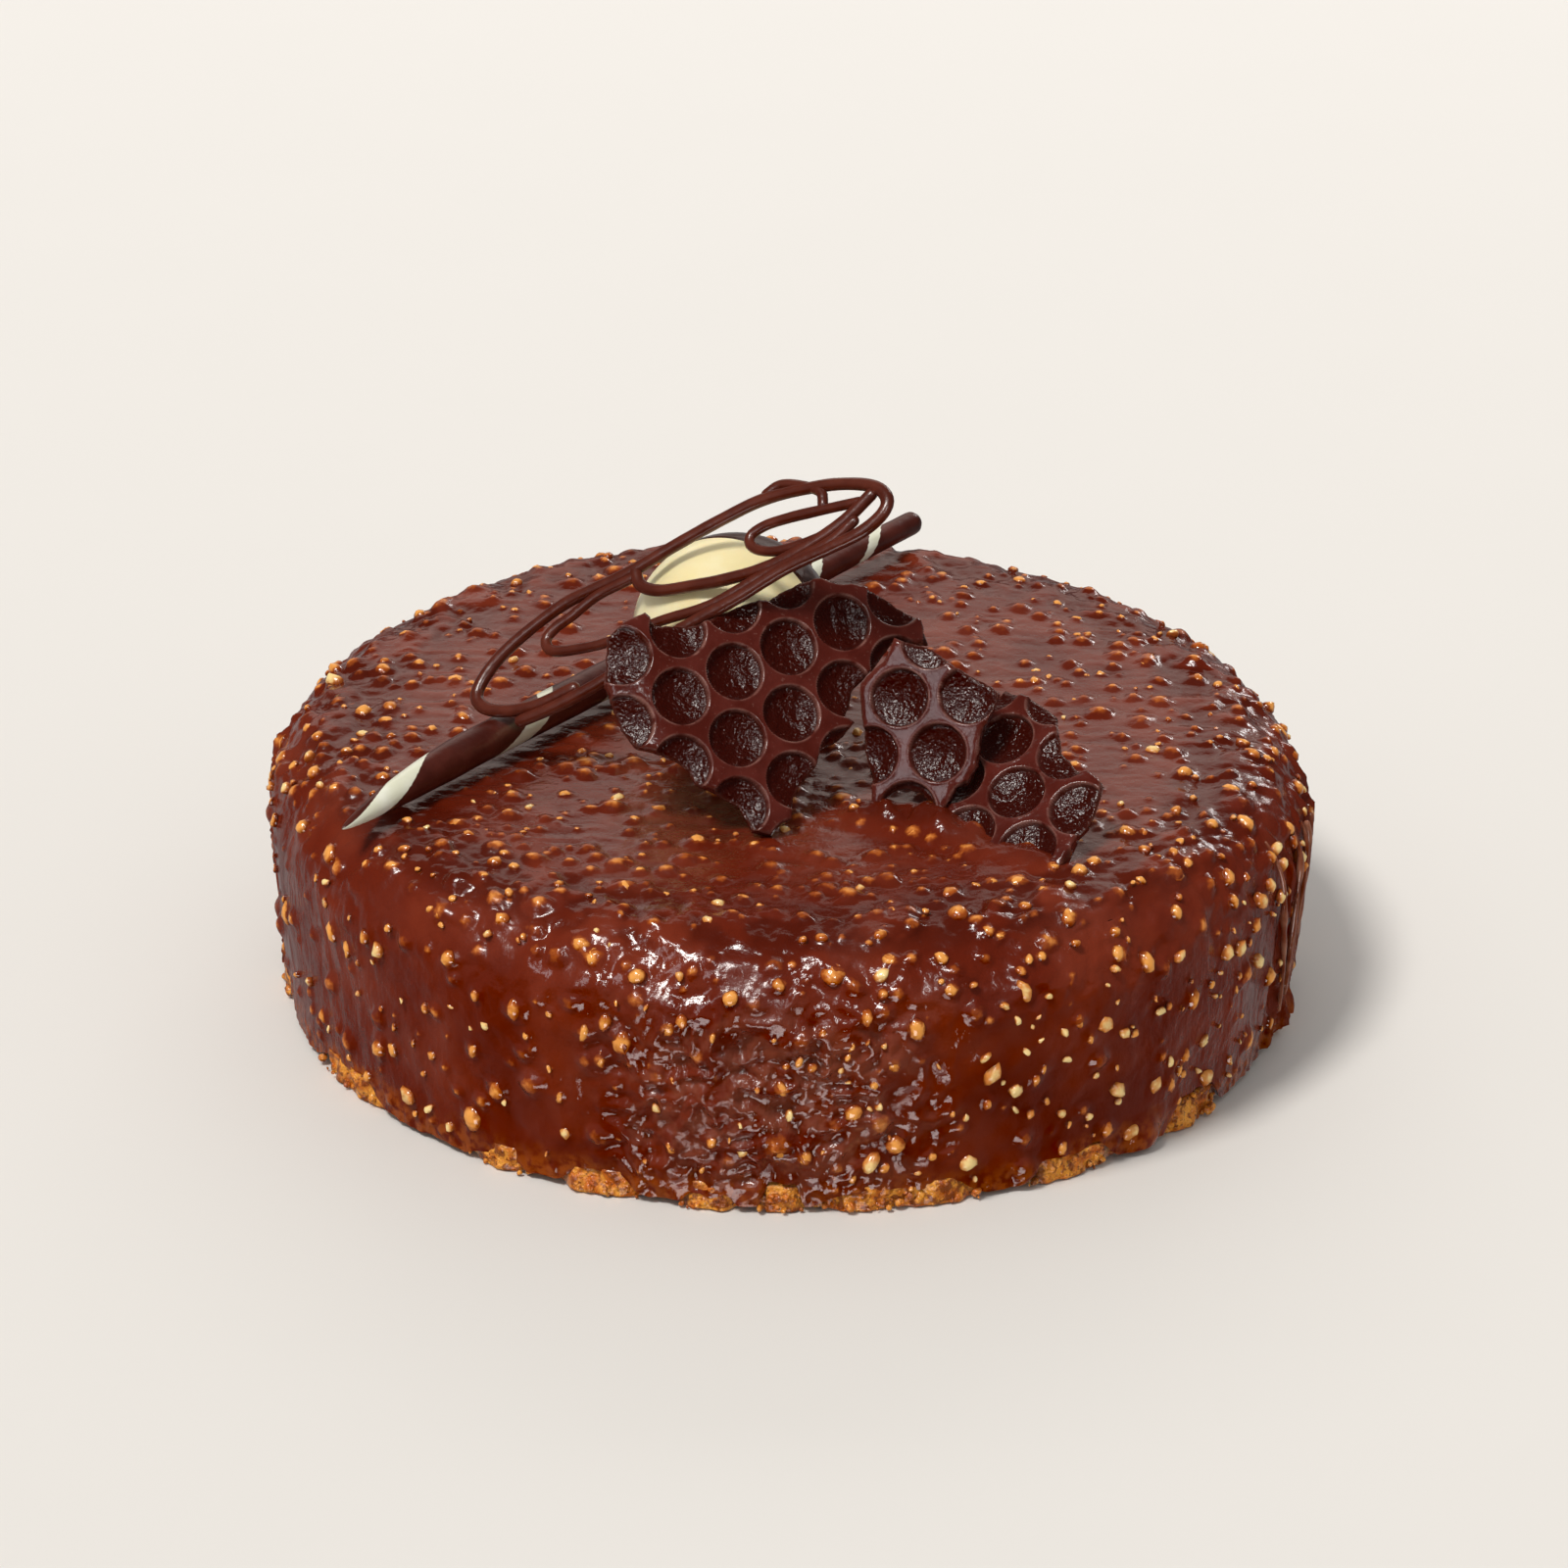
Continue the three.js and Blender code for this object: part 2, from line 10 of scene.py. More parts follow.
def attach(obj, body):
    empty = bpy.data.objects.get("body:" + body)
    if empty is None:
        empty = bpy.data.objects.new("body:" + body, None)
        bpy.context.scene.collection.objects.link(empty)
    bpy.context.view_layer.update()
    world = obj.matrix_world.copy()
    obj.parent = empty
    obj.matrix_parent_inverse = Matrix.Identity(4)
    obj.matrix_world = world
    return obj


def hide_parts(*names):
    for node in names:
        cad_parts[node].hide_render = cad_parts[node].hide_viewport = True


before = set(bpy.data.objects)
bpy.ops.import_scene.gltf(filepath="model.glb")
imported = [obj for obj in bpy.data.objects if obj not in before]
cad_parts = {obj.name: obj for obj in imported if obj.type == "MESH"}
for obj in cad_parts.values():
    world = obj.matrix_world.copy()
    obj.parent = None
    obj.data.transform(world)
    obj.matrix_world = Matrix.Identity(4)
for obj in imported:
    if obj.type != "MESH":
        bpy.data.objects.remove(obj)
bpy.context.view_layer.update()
print("frame loaded,", len(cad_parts), "solids")

# Shapes are worked out in millimetres from the middle of the cake and made in metres.
mm = 0.001
middle = np.array([-0.18, 0.18, 0.0])    # from the middle of the cake to the middle of its box


# Shapes that several pieces use.

# A share that goes softly from 0 at the first bound to 1 at the second.
def smooth(low, high, value):
    t = np.clip((value - low) / (high - low), 0, 1)
    return t * t * (3 - 2 * t)


# Degrees brought between -180 and 180.
def wrapped(degrees):
    return (degrees + 180) % 360 - 180


# Points round the middle of the cake. Turns are measured from the front.
def roundPoints(radius, turn, height):
    return np.stack([radius * np.sin(turn), -radius * np.cos(turn), height + 0 * turn], 1)


# Distance of flat points from the straight line between two ends.
def distanceToLine(points, start, end):
    start = np.asarray(start)
    way = np.asarray(end) - start
    along = np.clip((points - start) @ way / max(way @ way, 1e-9), 0, 1)
    return np.linalg.norm(points - start - along[:, None] * way, axis=1)


# Smooth noise from -1 to 1 with lumps of the given size.
def lumpNoise(points, size, seed):
    spots = np.asarray(points) / size + 31.7 * seed
    cell = np.floor(spots).astype(np.int64)
    part = spots - cell
    part = part * part * (3 - 2 * part)
    total = np.zeros(len(spots))
    for corner in np.ndindex(2, 2, 2):
        spot = cell + np.array(corner)
        mixed = (spot * np.array([374761393, 668265263, 1442695041])).sum(1) + seed * 97561
        mixed = ((mixed ^ (mixed >> 13)) * 1274126177) & 0x7FFFFFFF
        mixed = (mixed ^ (mixed >> 15)) & 0xFFFF
        weight = np.prod(np.where(np.array(corner) == 1, part, 1 - part), axis=1)
        total += weight * (mixed / 32767.5 - 1)
    return total


# The same with finer and finer lumps added.
def layeredNoise(points, size, layers, seed):
    total = np.zeros(len(points))
    for layer in range(layers):
        total += lumpNoise(points, size / 2 ** layer, seed + layer) / 2 ** layer
    return total / (2 - 2 ** (1 - layers))


# The way that a turn from the front and a rise from level point to, in degrees.
def direction(turn, rise=0):
    level = math.cos(math.radians(rise))
    turned = math.radians(turn)
    return Vector((level * math.sin(turned), -level * math.cos(turned),
                   math.sin(math.radians(rise))))


# The way a flat piece stands: its face looks along a direction, its own X stays level.
def facingMatrix(turn, rise, origin):
    facing = direction(turn, rise)
    across = Vector((0, 0, 1)).cross(facing).normalized()
    up = facing.cross(across)
    matrix = Matrix((across, up, facing)).transposed().to_4x4()
    matrix.translation = Vector(origin)
    return np.array(matrix)


def standAt(points, matrix):
    return np.asarray(points) @ matrix[:3, :3].T + matrix[:3, 3]


# A smooth line through points, with about one point per step.
def smoothLine(points, step):
    points = np.asarray(points, float)
    padded = np.vstack([2 * points[0] - points[1], points, 2 * points[-1] - points[-2]])
    line = []
    for i in range(1, len(padded) - 2):
        p0, p1, p2, p3 = padded[i - 1:i + 3]
        count = max(2, int(np.linalg.norm(p2 - p1) / step))
        t = np.linspace(0, 1, count, endpoint=False)[:, None]
        line.append(0.5 * (2 * p1 + (p2 - p0) * t + (2 * p0 - 5 * p1 + 4 * p2 - p3) * t ** 2
                           + (3 * p1 - p0 - 3 * p2 + p3) * t ** 3))
    return np.vstack(line + [points[-1:]])


# Squares between rings of points that lie one after another.
def tubeFaces(rings, sides, start=0, flipped=False):
    faces = []
    for i in range(rings - 1):
        first = start + i * sides
        for j in range(sides):
            near, far = first + j, first + (j + 1) % sides
            if flipped:
                near, far = far, near
            faces.append((near, far, far + sides, near + sides))
    return faces


# A round strand along a line, with round ends. It may be flatter along the normal, as a
# piped strand sags a little.
def strandMesh(line, radii, sides, normal, flatten=1.0):
    headings = np.gradient(line, axis=0)
    headings /= np.linalg.norm(headings, axis=1)[:, None]
    capSteps = 4
    caps = []
    for end, sign in ((0, -1), (-1, 1)):
        cap = []
        for i in range(1, capSteps + 1):
            angle = math.pi / 2 * i / (capSteps + 0.15)    # the last ring keeps a little width
            centre = line[end] + sign * headings[end] * radii[end] * math.sin(angle)
            cap.append((centre, headings[end], radii[end] * math.cos(angle)))
        caps.append(cap)
    angle = 2 * math.pi * np.arange(sides)[:, None] / sides
    rings = []
    for centre, heading, radius in caps[0][::-1] + list(zip(line, headings, radii)) + caps[1]:
        side = np.cross(heading, normal)
        side /= np.linalg.norm(side)
        out = np.cross(side, heading)
        rings.append(centre + radius * (np.cos(angle) * side + flatten * np.sin(angle) * out))
    points = np.vstack(rings)
    faces = tubeFaces(len(rings), sides)
    faces.append(tuple(reversed(range(sides))))
    faces.append(tuple(range(len(points) - sides, len(points))))
    return points, faces


# Several meshes as one.
def joined(parts):
    points, faces, start = [], [], 0
    for partPoints, partFaces in parts:
        points.append(partPoints)
        faces += [tuple(start + i for i in face) for face in partFaces]
        start += len(partPoints)
    return np.vstack(points), faces


def placeObject(name, data):
    made = bpy.data.objects.new(name, data)
    bpy.context.scene.collection.objects.link(made)
    return made


# One number or one vector for each point of a mesh.
def storeValues(mesh, key, values):
    values = np.asarray(values, np.float32)
    kind, field = ("FLOAT_VECTOR", "vector") if values.ndim == 2 else ("FLOAT", "value")
    mesh.attributes.new(key, kind, "POINT").data.foreach_set(field, values.ravel())


# A mesh object from millimetre points, with one number for each point in each attribute.
def meshPiece(name, points, faces, material, attributes=None):
    mesh = bpy.data.meshes.new(name)
    mesh.from_pydata(((np.asarray(points) + middle) * mm).tolist(), [], faces)
    for key, values in (attributes or {}).items():
        storeValues(mesh, key, values)
    mesh.polygons.foreach_set("use_smooth", [True] * len(mesh.polygons))
    mesh.materials.append(material)
    mesh.update()
    return placeObject(name, mesh)


# The body that a piece rides on, and the solids that it stands for, which are hidden.
def keep(piece, slot, *nodes):
    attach(piece, "root")
    if nodes:
        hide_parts(*nodes)
    return piece


# Node trees.

# A socket that can be used in sums; each sum adds a Math node.
class Field:
    def __init__(self, tree, socket):
        self.tree = tree
        self.socket = socket

    def sum(self, operation, first, second):
        return self.tree.add("ShaderNodeMath", {"operation": operation}, {0: first, 1: second})

    def __add__(self, other):
        return self.sum("ADD", self, other)

    def __sub__(self, other):
        return self.sum("SUBTRACT", self, other)

    def __rsub__(self, other):
        return self.sum("SUBTRACT", other, self)

    def __mul__(self, other):
        return self.sum("MULTIPLY", self, other)

    __radd__ = __add__
    __rmul__ = __mul__


class Tree:
    def __init__(self, nodeTree):
        self.nodeTree = nodeTree

    # Adds a node: first its settings, then the values or links of its sockets.
    def add(self, kind, settings=None, values=None, output=0):
        node = self.nodeTree.nodes.new(kind)
        for key, value in (settings or {}).items():
            setattr(node, key, value)
        for key, value in (values or {}).items():
            if isinstance(value, Field):
                self.nodeTree.links.new(value.socket, node.inputs[key])
            else:
                node.inputs[key].default_value = value
        return Field(self, node.outputs[output]) if len(node.outputs) else node

    def mix(self, share, first, second):
        return self.add("ShaderNodeMix", {"data_type": "RGBA", "clamp_factor": True},
                        {0: share, 6: first, 7: second}, output=2)

    def attribute(self, name):
        return self.add("ShaderNodeAttribute", {"attribute_name": name}, output="Fac")

    # One number of a vector: 0 for X, 1 for Y, 2 for Z.
    def part(self, vector, axis):
        return self.add("ShaderNodeSeparateXYZ", None, {0: vector}, output=axis)

    # Noise from 0 to 1 on the object's own metres, with lumps of the given millimetres.
    def noise(self, size, detail, stretch=(1, 1, 1)):
        place = self.add("ShaderNodeTexCoord", output="Object")
        scaled = self.add("ShaderNodeMapping", None, {"Vector": place, "Scale": stretch})
        return self.add("ShaderNodeTexNoise", None,
                        {"Vector": scaled, "Scale": 1 / (size * mm), "Detail": detail})

    # A share that goes from 0 to 1 between two values.
    def between(self, value, low, high):
        return self.add("ShaderNodeMapRange", {"interpolation_type": "SMOOTHSTEP"},
                        {"Value": value, "From Min": low, "From Max": high})

    # Soft patches of the given millimetres, from 0 to 1.
    def patches(self, size, detail, low, high):
        return self.between(self.noise(size, detail), low, high)

    # A bump of the given millimetres, over another where one is given.
    def bump(self, height, distance, strength, normal=None):
        values = {"Height": height, "Distance": distance * mm, "Strength": strength}
        if normal is not None:
            values["Normal"] = normal
        return self.add("ShaderNodeBump", None, values)


def newMaterial(name):
    material = bpy.data.materials.new(name)
    material.use_nodes = True
    material.node_tree.nodes.clear()
    return material, Tree(material.node_tree)


def finishMaterial(tree, values):
    shader = tree.add("ShaderNodeBsdfPrincipled", None, values)
    tree.add("ShaderNodeOutputMaterial", None, {"Surface": shader})


def rgb(red, green, blue):
    return (red, green, blue, 1.0)


# Camera, floor and light.

view = {
    "place": (0.0, -1496.0, 764.4),    # in millimetres from the middle of the cake
    "forward": (-0.00073, 0.90208, -0.43158),
    "up": (-0.01877, 0.43149, 0.90192),
    "lens": 166.72,
    "sensor": 36.0,
    "farthest": 20.0,         # in metres
}


def addCamera():
    camera = bpy.data.cameras.new("camera")
    camera.lens = view["lens"]
    camera.sensor_width = view["sensor"]
    camera.clip_end = view["farthest"]
    forward = Vector(view["forward"]).normalized()
    right = forward.cross(Vector(view["up"])).normalized()
    turned = Matrix((right, right.cross(forward), -forward)).transposed().to_4x4()
    turned.translation = (Vector(view["place"]) + Vector(middle)) * mm
    holder = placeObject("camera", camera)
    holder.matrix_world = turned
    bpy.context.scene.camera = holder


room = {
    "floorSize": 8.0,         # in metres
    "floorColour": rgb(0.77, 0.745, 0.71),
    "floorGrain": rgb(0.7, 0.68, 0.64),
    "worldColour": rgb(1.0, 0.99, 0.975),
    "worldStrength": 0.47,
    # what the gloss sees beside the lamps: below the horizon, how much more of that
    # towards the back, and above the horizon
    "mirroredBelow": 0.05,
    "mirroredBehind": 0.30,
    "mirroredAbove": 0.03,
    "horizon": (-0.12, 0.02),
    "sunFrom": (-0.42, -0.40, 1.0),
    "sunStrength": 2.1,
    "sunAngle": 15,            # degrees across, for soft shadows
    "sunColour": (1.0, 0.97, 0.93),
}

lamps = [
    # name, place and aim in metres, size, watts, colour, what it lights
    ("above", (-0.16, -0.70, 1.60), (0, -0.05, 0.05), (0.15, 0.15), 3.6, (1.0, 0.99, 0.98), "gloss"),
    ("frontLeft", (-1.0, -1.34, 1.08), (0, 0, 0.05), (0.5, 0.5), 3.0, (0.94, 0.96, 1.0), "gloss"),
    ("frontHigh", (0.45, -1.5, 1.45), (0, 0, 0.05), (0.10, 0.5), 7.0, (1.0, 0.99, 0.98), "gloss"),
    ("back", (0.1, 2.0, 1.05), (0, 0, 0.1), (2.4, 1.4), 7.0, (1.0, 0.87, 0.79), "gloss"),
    ("frontLow", (-0.08, -1.80, -1.12), (0, -0.1, 0.03), (1.3, 0.9), 25.0, (1.0, 0.95, 0.94), "gloss"),
    ("backRight", (1.0, 1.8, 0.95), (0.05, 0, 0.06), (0.6, 0.12), 4.0, (1.0, 0.98, 0.97), "gloss"),
    ("backdrop", (0.0, 2.6, 1.4), (0, 2.4, 0), (2.5, 1.0), 26, (1.0, 1.0, 1.0), "floor"),
]


def addFloor():
    material, tree = newMaterial("floorPaper")
    grain = tree.patches(60, 3, 0.3, 0.7) * 0.04
    finishMaterial(tree, {"Base Color": tree.mix(grain, room["floorColour"], room["floorGrain"]),
                          "Roughness": 0.9})
    half = room["floorSize"] / mm / 2
    corners = np.array([(-half, -half, 0), (half, -half, 0), (half, half, 0), (-half, half, 0)])
    floor = meshPiece("floor", corners - middle, [(0, 1, 2, 3)], material)
    floor.visible_glossy = False    # the glaze mirrors the lamps and a dim room


def addWorld():
    world = bpy.data.worlds.new("room")
    bpy.context.scene.world = world
    world.use_nodes = True
    world.node_tree.nodes.clear()
    tree = Tree(world.node_tree)
    heading = tree.add("ShaderNodeTexCoord", output="Generated")
    above = tree.between(tree.part(heading, 2), *room["horizon"])
    below = tree.part(heading, 1) * room["mirroredBehind"] + room["mirroredBelow"]
    mirrored = above * room["mirroredAbove"] + (1 - above) * below
    glossy = tree.add("ShaderNodeLightPath", output="Is Glossy Ray")
    strength = glossy * (mirrored - room["worldStrength"]) + room["worldStrength"]
    light = tree.add("ShaderNodeBackground", None, {"Color": room["worldColour"], "Strength": strength})
    tree.add("ShaderNodeOutputWorld", None, {"Surface": light})


def addLights():
    sun = bpy.data.lights.new("sun", "SUN")
    sun.energy = room["sunStrength"]
    sun.angle = math.radians(room["sunAngle"])
    sun.color = room["sunColour"]
    holder = placeObject("sun", sun)
    holder.rotation_euler = Vector(room["sunFrom"]).to_track_quat("Z", "Y").to_euler()
    for name, place, aim, size, watts, colour, lights in lamps:
        lamp = bpy.data.lights.new(name, "AREA")
        lamp.shape = "RECTANGLE"
        lamp.size, lamp.size_y = size
        lamp.energy = watts
        lamp.color = colour
        holder = placeObject(name, lamp)
        holder.location = place
        holder.rotation_euler = (Vector(aim) - Vector(place)).to_track_quat("-Z", "Y").to_euler()
        holder.visible_diffuse = lights == "floor"
        holder.visible_glossy = lights == "gloss"


addCamera()
addFloor()
addWorld()
addLights()
bpy.context.scene.view_settings.view_transform = "Standard"
print("camera, floor and light are set")


# Glaze.

cake = {
    "height": 65.0,
    "radius": 120.0,          # at the top of the wall
    "footRadius": 116.5,
    "edgeRound": 20.5,
    "skirtLift": 1.1,         # how far over the floor the glaze ends
    "recess": 113.3,          # radius of the hollow over the biscuit
    "ceiling": 6.9,           # its height
}

glaze = {
    "cells": 284,             # squares along each side of the sheet on the top
    "rows": 78,               # of squares from that sheet's rim down to the foot
    "seam": 0.45,             # how far over the edge the sheet on the top reaches
    "inset": 1.15,            # how far the plain skin lies inside the outline, to leave room for nuts
    "reach": 119.9,           # nothing stands out further than this
    # depths and heights of the relief: on the top
    "ripple": 0.22,           # streaks
    "lumps": 0.9,             # uneven lumps on the rounded edge
    "bankWidth": 5.0,         # of the banks along the toppings
    # and on the wall
    "wave": 0.36,
    "slack": 0.55,            # wide uneven lumps
    "dent": 0.38,
    "groove": 0.34,           # upright grooves
    "front": (25, 75),        # degrees from the front over which dents give way to grooves
    "hollow": 3.2,            # between the strings on the right
    "hollowTurns": (62, 74, 96, 104),    # where the hollows start, are deep, fade and end
    "string": 1.7,
    "stringWidth": 0.7,
    "stringTop": 58.0,        # height at which the strings start
    "wrinkle": 2.016,         # folds of the rough patch in front
    "patch": (-3, 27, 36, 24),    # middle across, middle height and half sizes of that patch
    "crumble": 0.9,           # roughness close to the foot
    "footRagged": 1.25,       # of the lower edge
    # points inside that close the two pieces
    "underTop": 50.0,
    "insideWall": 48.0,
}

# Strings that the glaze drew as it ran down: turn at the edge and at the foot.
strings = [(70, 76), (76, 81), (80, 73), (85, 79), (88, 84), (92, 97), (-97, -88), (-112, -118),
           (148, 156), (196, 190), (222, 230)]

# Drops of glaze: turn, height, half width, how far it stands out.
drops = [(43.8, 3.6, 4.2, 2.6), (27.5, 5.5, 2.6, 1.5), (-42, 63.3, 3.0, 2.4), (78, 5, 4.5, 2.2),
         (121, 7, 4.5, 1.6), (162, 12, 5, 1.5), (-128, 6, 4.5, 1.8), (-160, 20, 6, 1.3)]

# Where the biscuit shows under the glaze: turn from the front, width, height.
openings = [
    (-58, 30, 5.5), (-33, 16, 3.6), (-20.5, 18, 4.2), (-8, 12, 3.8), (0, 9.5, 7.5), (13, 36, 5.2),
    (33.5, 24, 6.5), (53, 20, 8.5), (80, 18, 4.5), (104, 26, 6), (139, 16, 7), (171, 28, 5.5),
    (207, 14, 6.5), (243, 24, 6), (276, 15, 5),
]

wallTop = cake["height"] - cake["edgeRound"]
flatRadius = cake["radius"] - cake["edgeRound"]
edgeWalk = cake["edgeRound"] * math.pi / 2
wholeWalk = flatRadius + edgeWalk + wallTop


# How open the glaze's lower edge is at a turn, from 0 to 1, and how high.
def openingAt(turn):
    degrees = np.degrees(turn)
    share = np.zeros(len(turn))
    high = np.zeros(len(turn))
    for middleTurn, wide, top in openings:
        away = np.abs(np.radians(wrapped(degrees - middleTurn)))
        offset = away * cake["footRadius"] / (wide / 2)
        here = 1 - smooth(0.55, 1.15, offset)
        high = np.where(here > share, top, high)
        share = np.maximum(share, here)
    return share, high


# Height of the glaze's lower edge, which is more ragged in the openings.
def footHeight(turn):
    lowest = 0.5
    ring = np.stack([np.cos(turn), np.sin(turn), 0 * turn], 1) * cake["footRadius"]
    share, high = openingAt(turn)
    ragged = layeredNoise(ring, 9, 3, 41) * glaze["footRagged"] * (1 + 1.6 * share)
    return np.maximum(cake["skirtLift"] + lowest + ragged + share * (high - 1.2), lowest)


# The plain skin: a point by the distance walked from the middle of the top over the
# edge and down the wall, and its outward normal.
def skinPoint(walk, turn):
    lean = np.clip((flatRadius + edgeWalk - walk) / cake["edgeRound"], 0, math.pi / 2)
    below = np.clip((walk - flatRadius - edgeWalk) / wallTop, 0, 1)
    onTop = walk < flatRadius
    radius = np.where(onTop, walk, flatRadius + cake["edgeRound"] * np.cos(lean))
    radius = radius - below * (cake["radius"] - cake["footRadius"])
    height = wallTop + cake["edgeRound"] * np.sin(lean) - below * (wallTop - footHeight(turn))
    return roundPoints(radius, turn, height), roundPoints(np.cos(lean), turn, np.sin(lean))


# Radius of the plain skin at a height.
def ringAt(height):
    lean = np.arcsin(np.clip((height - wallTop) / cake["edgeRound"], 0, 1))
    below = np.clip(1 - height / wallTop, 0, 1)
    return flatRadius + cake["edgeRound"] * np.cos(lean) - below * (cake["radius"] - cake["footRadius"])


nuts = {
    "tries": 4600,
    "top": (0.75, 2.5),       # smallest and largest radius
    "wall": (0.65, 2.5),
    "grows": (1.4, 1.9),      # a higher number gives more small ones, on the top and on the wall
    "kept": (0.70, 0.50),     # share of the tries that count there
    "room": 0.9,              # distance between neighbours, in their summed radii
    "lowest": 4.0,            # height over which they start
    "bareOnWall": 0.12,       # share that no glaze covers
    "bareOnRight": 0.42,      # the same on the right of the front
    "bareOnTop": 0.05,
    "film": 0.42,             # share of the others that lie whole under the glaze
    "seed": 7,
}

# Large nuts close to the openings of the lower edge: turn, height, radius, bare or not.
largeNuts = [(-0.5, 12.5, 3.4, False), (9.5, 8.5, 2.6, True), (47, 14.7, 2.4, False),
             (20.5, 6.5, 2.4, True), (-36, 9, 2.6, False), (39, 17, 2.0, True)]

ball = {
    "radius": 23.4,
    "place": (-12.9, -6.4),
    "rest": 65.3,             # height of its lowest point
    "clear": 9.0,             # no nut of the top lies nearer to the point below its middle
    "turn": -26.8,            # the way its ivory half faces
    "rise": 3.2,
}

pencil = {
    "radius": 4.4,
    "endRadius": 2.9,
    "tip": (-98.0, -63.9),
    "end": (29.4, 104.1),
    "height": 69.7,           # of its middle line
    "tipDrop": 3.4,           # how far the pointed end comes down
    "tipLength": 46.0,
}

# Lines on which the pencil and the sheets rest.
restLines = [
    # start, end, room beside it, height of the bank of glaze along it
    (pencil["tip"], pencil["end"], 3.5, 0),
    ((-3.3, -62.2), (-5.0, -60.0), 3.0, 1.0),
    ((33.0, -52.3), (18.2, -47.5), 2.0, 4.6),
    ((54.9, -68.5), (35.4, -56.3), 2.0, 1.8),
]


def clearOfToppings(spot, size):
    if np.linalg.norm(spot - np.array(ball["place"])) < ball["clear"] + size:
        return False
    return all(distanceToLine(spot[None], start, end)[0] >= clear + 0.6 * size
               for start, end, clear, _ in restLines)


# Nuts thrown evenly over the skin, one by one, where there is room.
def throwNuts():
    random = np.random.RandomState(nuts["seed"])
    kept = []
    places = np.zeros((0, 3))
    sizes = np.zeros(0)
    tries = [(wholeWalk - height, math.radians(turn), size, bare)
             for turn, height, size, bare in largeNuts]
    tries += [(wholeWalk * math.sqrt(random.uniform(0, 1)), random.uniform(0, 2 * math.pi), 0, False)
              for _ in range(nuts["tries"])]
    for walk, turn, given, givenBare in tries:
        growth, chance, bare, film, tone, spin = random.uniform(0, 1, 6)
        stretch = random.uniform(0.78, 1.25, 3)
        point, normal = skinPoint(np.array([walk]), np.array([turn]))
        point, normal = point[0], normal[0]
        onWall = walk > flatRadius + 0.7 * edgeWalk
        small, large = nuts["wall"] if onWall else nuts["top"]
        size = small + (large - small) * growth ** nuts["grows"][int(onWall)]
        if not given:
            # the wrapped sheet is wider than the wall, so fewer tries count there
            ring = math.hypot(point[0], point[1])
            if chance > nuts["kept"][int(onWall)] * ring / walk:
                continue
            if point[2] < nuts["lowest"] + size:
                continue
            if not onWall and not clearOfToppings(point[:2], size):
                continue
            if (np.linalg.norm(places - point, axis=1) < nuts["room"] * (sizes + size)).any():
                continue
        size = given or size
        places = np.vstack([places, point])
        sizes = np.append(sizes, size)
        rightFront = smooth(0.05, 0.5, math.sin(turn)) * (math.cos(turn) > -0.2)
        bareShare = nuts["bareOnTop"]
        if onWall:
            bareShare = nuts["bareOnWall"] + (nuts["bareOnRight"] - nuts["bareOnWall"]) * rightFront
        isBare = givenBare if given else bare < bareShare
        kept.append({"place": point, "normal": normal, "size": size, "bare": isBare,
                     "film": not isBare and not given and film < nuts["film"], "tone": tone,
                     "spin": spin, "stretch": stretch, "wall": onWall})
    return kept


thrown = throwNuts()
print("nuts thrown:", len(thrown))


swellings = {
    # width in the nut's own radius, the power that rounds it, height in that radius
    "covered": (1.6, 2, 0.5),
    "bare": (1.6, 2, 0.18),
    "film": (1.45, 1.6, 0.65),
    "margin": 0.3,
}


# Swellings of the glaze over the nuts and drops, and how much of a nut shows through.
def swell(points):
    lift, show = np.zeros((2, len(points)))
    uneven = 1 + 0.4 * layeredNoise(points, 2.2, 2, 77)
    spots = KDTree(len(points))
    for i, point in enumerate(points.tolist()):
        spots.insert(point, i)
    spots.balance()
    for nut in thrown:
        kind = "film" if nut["film"] else "bare" if nut["bare"] else "covered"
        width, roundness, height = swellings[kind]
        wide = nut["size"] * width + swellings["margin"]
        found = spots.find_range(nut["place"], wide)
        if not found:
            continue
        near = np.array([index for _, index, _ in found])
        away = np.minimum(np.array([distance for _, _, distance in found]) * uneven[near], wide)
        mound = nut["size"] * height * (1 - (away / wide) ** 2) ** roundness
        lift[near] = np.maximum(lift[near], mound) + 0.2 * np.minimum(lift[near], mound)
        if not nut["bare"]:
            glow = np.clip(1.1 - (away / nut["size"]) ** 2, 0, 1) * (0.45 + 0.55 * nut["tone"])
            show[near] = np.maximum(show[near], glow)
    for turn, height, wide, high in drops:
        place = np.array(direction(turn)) * ringAt(height) + np.array([0, 0, height])
        away = np.linalg.norm((points - place) * np.array([1, 1, 0.85]), axis=1)
        lift += high * np.clip(1 - (away / (1.4 * wide)) ** 2, 0, 1) ** 1.5
    return lift, show


# Height of the banks of glaze along the toppings, and how near they are, which sets painted shade on the
# banks.
def bankAt(flat):
    high, near = np.zeros((2, len(flat)))
    for start, end, _, bank in restLines:
        away = distanceToLine(flat, start, end)
        high += bank * np.exp(-(away / glaze["bankWidth"]) ** 2)
        close = np.exp(-(away / (1.3 * glaze["bankWidth"])) ** 2)
        near = np.maximum(near, close * smooth(0, 3, bank))
    return high, near


